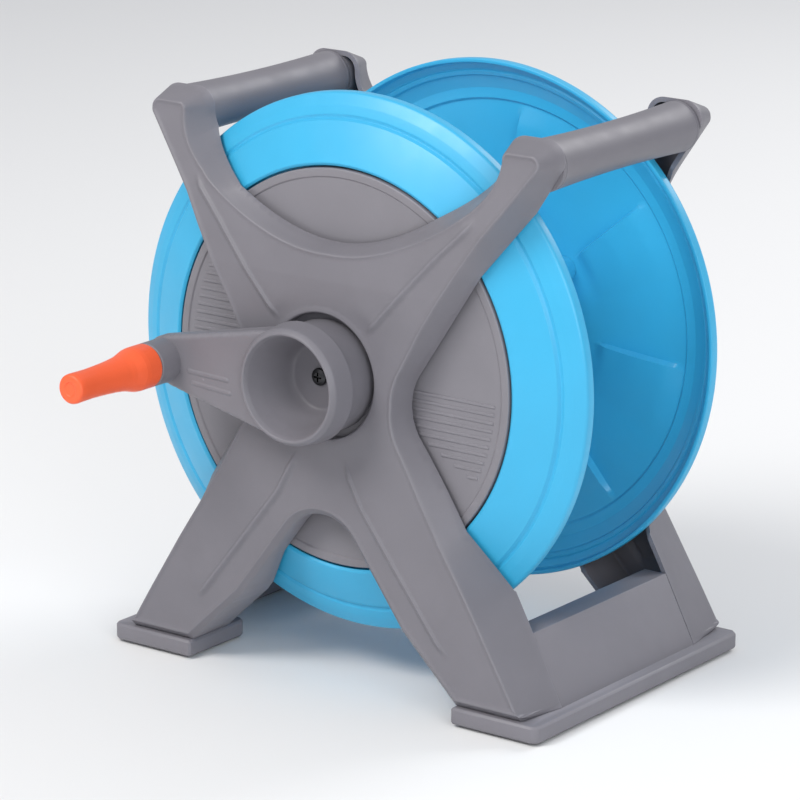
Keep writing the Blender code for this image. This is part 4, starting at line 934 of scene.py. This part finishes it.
def flanges():
    """Dished blue discs: the crank side has a socket for the crank, the water side a hollow journal."""
    web = WEB_DEPTH + FLANGE_WALL
    journal = BUSH_INNER - GAP
    bore = TUBE_RADIUS + GAP
    socket = SPLINE_START_DEPTH - GAP
    bottom = socket - DRIVE_FLOOR
    nose = bottom - DRIVE_NOSE
    seat = CORE_RADIUS - CORE_WALL - GAP
    seat_end = WEB_DEPTH - SEAT_LENGTH
    seat_ring = [(seat, WEB_DEPTH), (seat, seat_end), (seat - FLANGE_WALL, seat_end),
                 (seat - FLANGE_WALL, WEB_DEPTH)]
    centre_out = {-1: [(0, DRIVE_BOSS_DEPTH), (DRIVE_BOSS_RADIUS, DRIVE_BOSS_DEPTH, 0.001),
                       (DRIVE_BOSS_RADIUS, web, 0.001)],
                  1: [(bore, TUBE_END_DEPTH), (journal, TUBE_END_DEPTH, 0.0008), (journal, web, 0.001)]}
    centre_in = {-1: [(0.020, WEB_DEPTH), (0.018, bottom), (DRIVE_NOSE_RADIUS, bottom),
                      (DRIVE_NOSE_RADIUS, nose), (0, nose)],
                 1: [(bore, WEB_DEPTH)]}
    outer, inner = flange_section()
    for name, side in (("front_flange", -1), ("rear_flange", 1)):
        profile = softened(centre_out[side] + outer + inner + seat_ring + centre_in[side])
        if side > 0:
            profile = profile + profile[:1]
        made = solid(name + "_disc", lathe(profile, 2 * ROUND, web_lift), side=side, sharp=34)
        if side < 0:
            combine(made, [hexagon("socket", SPLINE_FLAT + GAP, socket, 0.05)], "DIFFERENCE", 34)
        dress(made, "drum", "drum_plastic", name)


def cover_rib_rows():
    """Level, start and end of each fine rib in one sector of a cover."""
    for number in range(COVER_RIB_COUNT):
        level = COVER_RIB_LOW + number * COVER_RIB_PITCH
        start = max(COVER_RIB_INNER, level / COVER_RIB_SLOPE)
        yield level, start, math.sqrt(COVER_RIB_REACH ** 2 - level ** 2)


def cover_ribs(points):
    """Height of the fine level ribs in two opposite sectors of a cover."""
    height = np.zeros(len(points))
    for sign in (1, -1):
        x = points[:, 0] * sign
        z = -points[:, 1] * sign
        for level, start, stop in cover_rib_rows():
            away = np.maximum(np.abs(z - level) - COVER_RIB_HALF, np.maximum(start - x, x - stop))
            height = np.maximum(height, COVER_RIB_HEIGHT * np.clip(1 - away / COVER_RIB_FLANK, 0, 1))
    return height


def cover_rib_loops():
    """Loops round the top and the foot of every rib, to be kept as edges of the mesh."""
    loops = []
    for sign in (1, -1):
        for level, start, stop in cover_rib_rows():
            for grow in (0, COVER_RIB_FLANK):
                low = -level - COVER_RIB_HALF - grow
                high = -level + COVER_RIB_HALF + grow
                near = start - grow
                far = stop + grow
                corners = [(near, low), (far, low), (far, high), (near, high), (near, low)]
                loops.append(spaced(np.array(corners) * sign, 0.004))
    return loops


def covers():
    """Grey discs that close the flanges, with a raised rim and fine ribs."""
    face = COVER_DEPTH - COVER_STEP
    rim = COVER_RADIUS - COVER_RIM
    hole = BUSH_INNER + GAP
    seat = WEB_DEPTH + FLANGE_WALL + GAP
    inner = COVER_RADIUS - COVER_WALL
    back = COVER_DEPTH - COVER_WALL
    flat, triangles = triangulate(circle(rim)[::-1], [circle(hole)], cover_rib_loops())
    disc = (raised(flat, face + cover_ribs(flat)), [tuple(t) for t in triangles])
    profile = softened([(rim, face), (rim + 0.0009, COVER_DEPTH, 0.0006), (COVER_RADIUS, COVER_DEPTH, 0.0012),
                        (COVER_RADIUS, seat), (inner, seat), (inner, back), (hole, back), (hole, face)])
    for name, side in (("front_cover", -1), ("rear_cover", 1)):
        made = solid(name + "_disc", [disc] + lathe(profile), side=side)
        dress(made, "drum", "cover_plastic", name)


def core():
    """Tube between the flanges with its screw columns and the window for the hose end."""
    end = WEB_DEPTH - GAP
    made = turned("drum_core_tube", rod(CORE_RADIUS, -end, end), ROUND)
    columns = []
    for number, angle in enumerate(COLUMN_ANGLES):
        spot = AXIS + Vector((COLUMN_CENTRE * math.cos(angle), 0, COLUMN_CENTRE * math.sin(angle)))
        columns.append(turned(f"column_{number}", rod(COLUMN_RADIUS, -end, end), 48, centre=spot))
    combine(made, columns, "UNION", 34)
    bore = turned("bore", rod(CORE_RADIUS - CORE_WALL, -0.1, 0.1), ROUND)
    half = WINDOW_HEIGHT / 2
    window = block("window", (0.030, WINDOW_START, -half), (0.090, WINDOW_END, half))
    combine(made, [bore, window], "DIFFERENCE", 34)
    dress(made, "drum", "drum_plastic", "drum_core")


def arm_outline():
    """Outline of the arm from the hub's middle to its round tip."""
    loop = [(0, ARM_ROOT_HALF), (0, -ARM_ROOT_HALF)]
    loop += arc((GRIP_AXIS.x, 0), ARM_TIP_RADIUS, 260, 100, 40)
    return spaced(closed(np.array(loop)), 2 * SPACING)[:-1]


def arm_ribs(points):
    """Two short ribs on the face of the arm."""
    height = np.zeros(len(points))
    for start, stop, level in ARM_RIBS:
        away = distance_to(points, np.array([(start, level), (stop, level * ARM_RIB_SPLAY)]))
        height = np.maximum(height, np.clip(ARM_RIB_HALF - away, 0, ARM_RIB_HEIGHT))
    return height


def crank_arm():
    """Tapered hollow arm with rounded edges, open at its back."""
    outline = arm_outline()
    inner = inset(outline, ARM_WALL)
    length = -GRIP_AXIS.x
    hub = BELL_RADIUS - 0.001
    boss = PIN_RADIUS + 0.004

    def face(points, edge):
        depth = np.interp(-points[:, 0], [0, length], ARM_FACE)
        return depth + arm_ribs(points) - rounded_drop(edge, ARM_EDGE)

    def front(points):
        return face(points, distance_to(points, closed(outline)))

    def back(points):
        return np.full(len(points), ARM_BACK)

    def pocket(points):
        hollow = within(points, inner) & (np.linalg.norm(points, axis=1) > hub)
        return hollow & (np.linalg.norm(points + (length, 0), axis=1) > boss)

    angles = [math.radians(angle) for angle in (14, 28, 42, 56, 72)]
    loose = [inset(outline, ARM_EDGE * (1 - math.cos(angle))) for angle in angles]
    places = np.linspace(-0.083, -0.044, 60)
    loose += [np.stack([places, np.full(60, level)], axis=1) for level in np.linspace(-0.0145, -0.001, 28)]
    flat, triangles = triangulate(outline, loose=loose)
    outside = (raised(flat, front(flat)), [tuple(t) for t in triangles])
    rim = strip(raised(outline, face(outline, np.zeros(len(outline)))), raised(outline, back(outline)))
    lines = [closed(inner)]
    for ring in (circle(hub), circle(boss, 48, (-length, 0))):
        lines += trimmed(closed(ring), outline)
    return [outside, rim, shell_back(outline, [], lines, front, back, pocket)]


def crank():
    """Crank: deep cup in a bell-shaped hub, tapered arm, and a boss for the grip."""
    journal = BUSH_INNER - GAP
    shoulder = BEARING_END + 2 * GAP
    skirt = NECK_RADIUS - NECK_WALL
    skirt_end = RECESS_DEPTH + 4 * GAP
    bell = [(0, BARREL_START_DEPTH), (journal, BARREL_START_DEPTH, 0.0005), (journal, shoulder),
            (skirt, shoulder), (skirt, skirt_end, 0.0005), (NECK_RADIUS, skirt_end, 0.0005),
            (NECK_RADIUS, BACK_DEPTH - 0.0015, 0.002), (BELL_RADIUS, BACK_DEPTH, 0.0015),
            (BELL_RADIUS - 0.0006, BACK_DEPTH + 0.004), (BELL_RIM + 0.0016, FACE_DEPTH - 0.0030, 0.004),
            (BELL_RIM - 0.0008, FACE_DEPTH, 0.0016), (CUP_RADIUS - 0.0002, FACE_DEPTH - 0.0002, 0.0010),
            (CUP_RADIUS - 0.0016, FACE_DEPTH - 0.0030, 0.002),
            (CUP_RADIUS - 0.0045, FACE_DEPTH - 0.0120, 0.006),
            (CUP_FLOOR_RADIUS + 0.0030, CUP_FLOOR_DEPTH + 0.004),
            (CUP_FLOOR_RADIUS, CUP_FLOOR_DEPTH, 0.003), (0, CUP_FLOOR_DEPTH)]
    made = solid("crank_body", lathe(softened(bell)), side=-1, sharp=38)
    arm = solid("crank_arm", crank_arm(), side=-1)
    rim_cut = turned("rim_cut", rod(CUP_RADIUS - 0.001, CUP_FLOOR_DEPTH, 0.16), ROUND, side=-1)
    combine(arm, [rim_cut], "DIFFERENCE", 38)
    tip = AXIS + Vector((GRIP_AXIS.x, 0, 0))
    profile = [(0, ARM_BACK), (BOSS_RADIUS, ARM_BACK), (BOSS_RADIUS, BOSS_DEPTH, 0.0012), (0, BOSS_DEPTH)]
    boss = turned("crank_tip", profile, side=-1, centre=tip)
    combine(made, [arm, boss], "UNION", 38)
    combine(made, [hexagon("spline", SPLINE_FLAT, SPLINE_START_DEPTH, SPLINE_LENGTH)], "UNION", 38)
    dress(made, "drum", "frame_plastic", "crank")


def screw(name, node_name, body, spot, direction, head, height, length, radius, finish="steel"):
    """Pan-head screw with a cross recess; its head stands out along the direction."""
    profile = [(0, -length), (radius * 0.7, -length), (radius, -length + 0.0015), (radius, 0),
               (head, 0, 0.0004), (head, height * 0.55, height * 0.5), (head * 0.55, height, height * 0.4),
               (0, height)]
    turn = Vector((0, 1, 0)).rotation_difference(Vector(direction)).to_matrix().to_4x4()
    made = solid(name, lathe(softened(profile), 48), centre=(0, 0, 0))
    arms = [(head * 0.55, head * 0.11), (head * 0.11, head * 0.55)]
    slots = [block("slot", (-x, height * 0.35, -z), (x, height * 2, z), centre=(0, 0, 0)) for x, z in arms]
    combine(made, slots, "DIFFERENCE")
    made.data.transform(Matrix.Translation(spot) @ turn)
    dress(made, body, "steel", node_name, finish)


def screws():
    """Screw in the crank's cup, painted near black to stand for the shade deep in the cup, and three bright ones
    in the inlet plate.
    """
    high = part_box("crank_screw")[1]
    depth = AXIS.y - DRIVE_SCREW_DEPTH
    # The cup's screw gets the near-black steel, a painted shade of the cup's depth.
    screw("crank_screw_head", "crank_screw", "drum", Vector((AXIS.x, depth, AXIS.z)), (0, -1, 0),
          DRIVE_SCREW_HEAD, SCREW_HEAD_HEIGHT, high.y - depth, DRIVE_SCREW_RADIUS, "cup_shade_steel")
    for number in (1, 2, 3):
        low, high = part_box(f"inlet_screw_{number}")
        centre = (low + high) / 2
        seat = Vector((centre.x, high.y - SCREW_HEAD_HEIGHT, centre.z))
        screw(f"inlet_screw_head_{number}", f"inlet_screw_{number}", "stand", seat, (0, 1, 0),
              SCREW_HEAD_RADIUS, SCREW_HEAD_HEIGHT, seat.y - low.y, SCREW_RADIUS)


def grip():
    """Orange sleeve, a bell at the arm with a slim waist and a rounded end, and its steel pin."""
    span = GRIP_END - GRIP_START
    bell = GRIP_BASE - GRIP_TIP
    bore = PIN_RADIUS + GAP
    dimple = GRIP_END - 0.0006
    bore_end = GRIP_END - 0.005
    swell = ((0.0, 0.90), (0.015, 1.0), (0.15, 1.0), (0.20, 0.93), (0.25, 0.74), (0.30, 0.53), (0.36, 0.36),
             (0.45, 0.22), (0.55, 0.12), (0.65, 0.05), (0.75, 0.0), (0.86, 0.02), (0.94, 0.05))
    profile = [(bore, GRIP_START), (GRIP_BASE - 0.0022, GRIP_START)]
    profile += [(GRIP_TIP + bell * share, GRIP_START + span * along, 0.0012) for along, share in swell]
    profile += [(GRIP_TIP, GRIP_END, 0.0026), (0.0045, GRIP_END, 0.0008), (0.0040, dimple, 0.0004),
                (0, dimple), (0, bore_end), (bore, bore_end), (bore, GRIP_START)]
    sleeve = lathe(softened(profile, 6), SMALL_ROUND)
    made = solid("crank_grip_sleeve", sleeve, side=-1, centre=GRIP_AXIS, sharp=40)
    dress(made, "grip", "grip_plastic", "crank_grip")
    start = BACK_DEPTH + 0.0002
    profile = [(0, start - 0.002), (PIN_HEAD_RADIUS, start - 0.002, 0.0006), (PIN_HEAD_RADIUS, start),
               (PIN_RADIUS, start), (PIN_RADIUS, GRIP_END - 0.006, 0.0008), (0, GRIP_END - 0.006)]
    pin = turned("grip_pin_steel", profile, 48, side=-1, centre=GRIP_AXIS)
    dress(pin, "drum", "steel", "grip_pin")


def bushes():
    """Flanged plastic bearings in the hubs."""
    lip = BUSH_START + BUSH_LIP
    end = BEARING_END - GAP
    profile = [(BUSH_INNER, BUSH_START, 0.0004), (BUSH_TUBE, BUSH_START, 0.0004), (BUSH_TUBE, lip),
               (BUSH_HOLE - GAP, lip), (BUSH_HOLE - GAP, end, 0.0004), (BUSH_INNER, end, 0.0004)]
    for name, side in (("front_bush", -1), ("rear_bush", 1)):
        dress(turned(name + "_sleeve", profile, side=side), "stand", "natural_plastic", name)


def nipple(start, end, bore):
    """Profile of a quick-connector nipple between two depths."""
    rows = ((0.0082, 0, 0.0003), (0.0082, 0.30, 0.0006), (0.0093, 0.38, 0.0005), (0.0093, 0.60, 0.0005),
            (0.0078, 0.68, 0.0006), (0.0078, 0.88, 0.0006), (0.0066, 1, 0.0005), (bore, 1, 0.0004))
    return [(radius, start + share * (end - start), soft) for radius, share, soft in rows]


def inlet():
    """Plate, nipple and nut of the water inlet."""
    plate = BEARING_END + GAP
    plate_end = plate + INLET_PLATE
    hole = THREAD_RADIUS + GAP
    profile = [(hole, plate), (RECESS_RADIUS - GAP, plate), (RECESS_RADIUS - GAP, plate_end, 0.0005),
               (hole, plate_end)]
    dress(turned("inlet_plate_disc", profile, ROUND), "stand", "frame_plastic", "inlet_plate")
    sleeve = TUBE_BORE - GAP
    back = TUBE_END_DEPTH + GAP
    seat = plate - INLET_SEAL - 2 * GAP
    nut_end = plate_end + INLET_NUT
    profile = [(NIPPLE_BORE, INLET_START), (sleeve, INLET_START, 0.0005), (sleeve, back),
               (INLET_FLANGE_RADIUS, back), (INLET_FLANGE_RADIUS, seat), (THREAD_RADIUS, seat),
               (THREAD_RADIUS, nut_end)]
    for turn in range(3):
        foot = nut_end + GAP + turn * THREAD_PITCH
        profile += [(THREAD_RADIUS - THREAD_DEPTH, foot), (THREAD_RADIUS, foot + 0.0004),
                    (THREAD_RADIUS, foot + 0.0008), (THREAD_RADIUS - THREAD_DEPTH, foot + 0.0012)]
    profile += nipple(profile[-1][1] + 0.0005, INLET_END, NIPPLE_BORE)
    dress(turned("inlet_nipple_turned", profile), "stand", "frame_plastic", "inlet_nipple")
    bevelled_copy("inlet_nut", "stand", "frame_plastic", 0.0005, 2)


def outlet():
    """Nipple in the core's window, which the wound hose is pushed on."""
    low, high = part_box("outlet_nipple")
    axis_x = Matrix.Rotation(-math.pi / 2, 4, "Z")
    spot = Vector((0, (low.y + high.y) / 2, AXIS.z))
    profile = [(OUTLET_BORE, OUTLET_START), (OUTLET_SPIGOT, OUTLET_START, 0.0003),
               (OUTLET_SPIGOT, OUTLET_STEP), (OUTLET_COLLAR, OUTLET_STEP, 0.0005),
               (OUTLET_COLLAR, OUTLET_STEP + 0.0030, 0.0005)]
    profile += nipple(OUTLET_STEP + 0.0032, OUTLET_END, OUTLET_BORE)
    made = turned("outlet_nipple_turned", profile, turn=axis_x, centre=spot)
    dress(made, "drum", "frame_plastic", "outlet_nipple")


def leftover_nodes():
    """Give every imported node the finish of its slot; some of them keep their own shape."""
    slots = {entry["node"]: entry["material_slot"] for entry in frame["record"]["subparts"]}
    for name, item in frame["nodes"].items():
        item.data.materials.clear()
        item.data.materials.append(FINISHES[slots[name]])


def floor():
    """Plain pale floor, wide enough to fill any view from above."""
    bm = bmesh.new()
    bmesh.ops.create_circle(bm, cap_ends=True, segments=96, radius=30.0)
    mesh = bpy.data.meshes.new("floor")
    bm.to_mesh(mesh)
    bm.free()
    paint = bpy.data.materials.new("floor_paint")
    paint.use_nodes = True
    shader = paint.node_tree.nodes["Principled BSDF"]
    shader.inputs["Base Color"].default_value = (0.80, 0.80, 0.80, 1)
    shader.inputs["Roughness"].default_value = 0.9
    mesh.materials.append(paint)
    made = placed("floor", mesh)


def lamp(name, place, target, size, watts, tint=(1, 1, 1)):
    light = bpy.data.lights.new(name, "AREA")
    light.shape = "DISK"
    light.size = size
    light.energy = watts
    light.color = tint
    made = placed(name, light)
    made.location = place
    made.rotation_euler = (Vector(target) - Vector(place)).to_track_quat("-Z", "Y").to_euler()


def lights():
    """Large soft lamps round the reel and a pale sky."""
    target = (0, 0.02, 0.18)
    lamp("key", (-0.7, -2.0, 2.4), target, 1.5, 62, (1.0, 0.98, 0.95))
    lamp("fill", (2.2, -1.5, 1.2), target, 1.8, 32, (0.95, 0.98, 1.0))
    lamp("back", (0.6, 2.4, 1.9), target, 1.6, 34)
    world = bpy.data.worlds.new("sky")
    world.use_nodes = True
    bpy.context.scene.world = world
    sky = world.node_tree.nodes["Background"]
    sky.inputs["Color"].default_value = (0.93, 0.95, 1.0, 1)
    sky.inputs["Strength"].default_value = 0.55


def camera():
    """Camera at the photograph's viewing angle, aimed at the middle of the reel's picture."""
    away = Vector((math.sin(VIEW_AZIMUTH) * math.cos(VIEW_ELEVATION),
                   -math.cos(VIEW_AZIMUTH) * math.cos(VIEW_ELEVATION), math.sin(VIEW_ELEVATION)))
    right = Vector((math.cos(VIEW_AZIMUTH), math.sin(VIEW_AZIMUTH), 0))
    up = right.cross(-away)
    place = AXIS + away * VIEW_DISTANCE
    target = AXIS + right * VIEW_OFFSET[0] + up * VIEW_OFFSET[1]
    made = placed("camera", bpy.data.cameras.new("camera"))
    made.data.lens = LENS
    made.data.clip_end = 100
    made.location = place
    turn = (target - place).to_track_quat("-Z", "Y").to_matrix().to_4x4()
    made.rotation_euler = (turn @ Matrix.Rotation(VIEW_ROLL, 4, "Z")).to_euler()
    bpy.context.scene.camera = made


leftover_nodes()
frames()
tie_bars()
base()
flanges()
covers()
core()
crank()
screws()
grip()
bushes()
inlet()
outlet()
floor()
lights()
camera()
bpy.context.scene.view_settings.view_transform = "Standard"
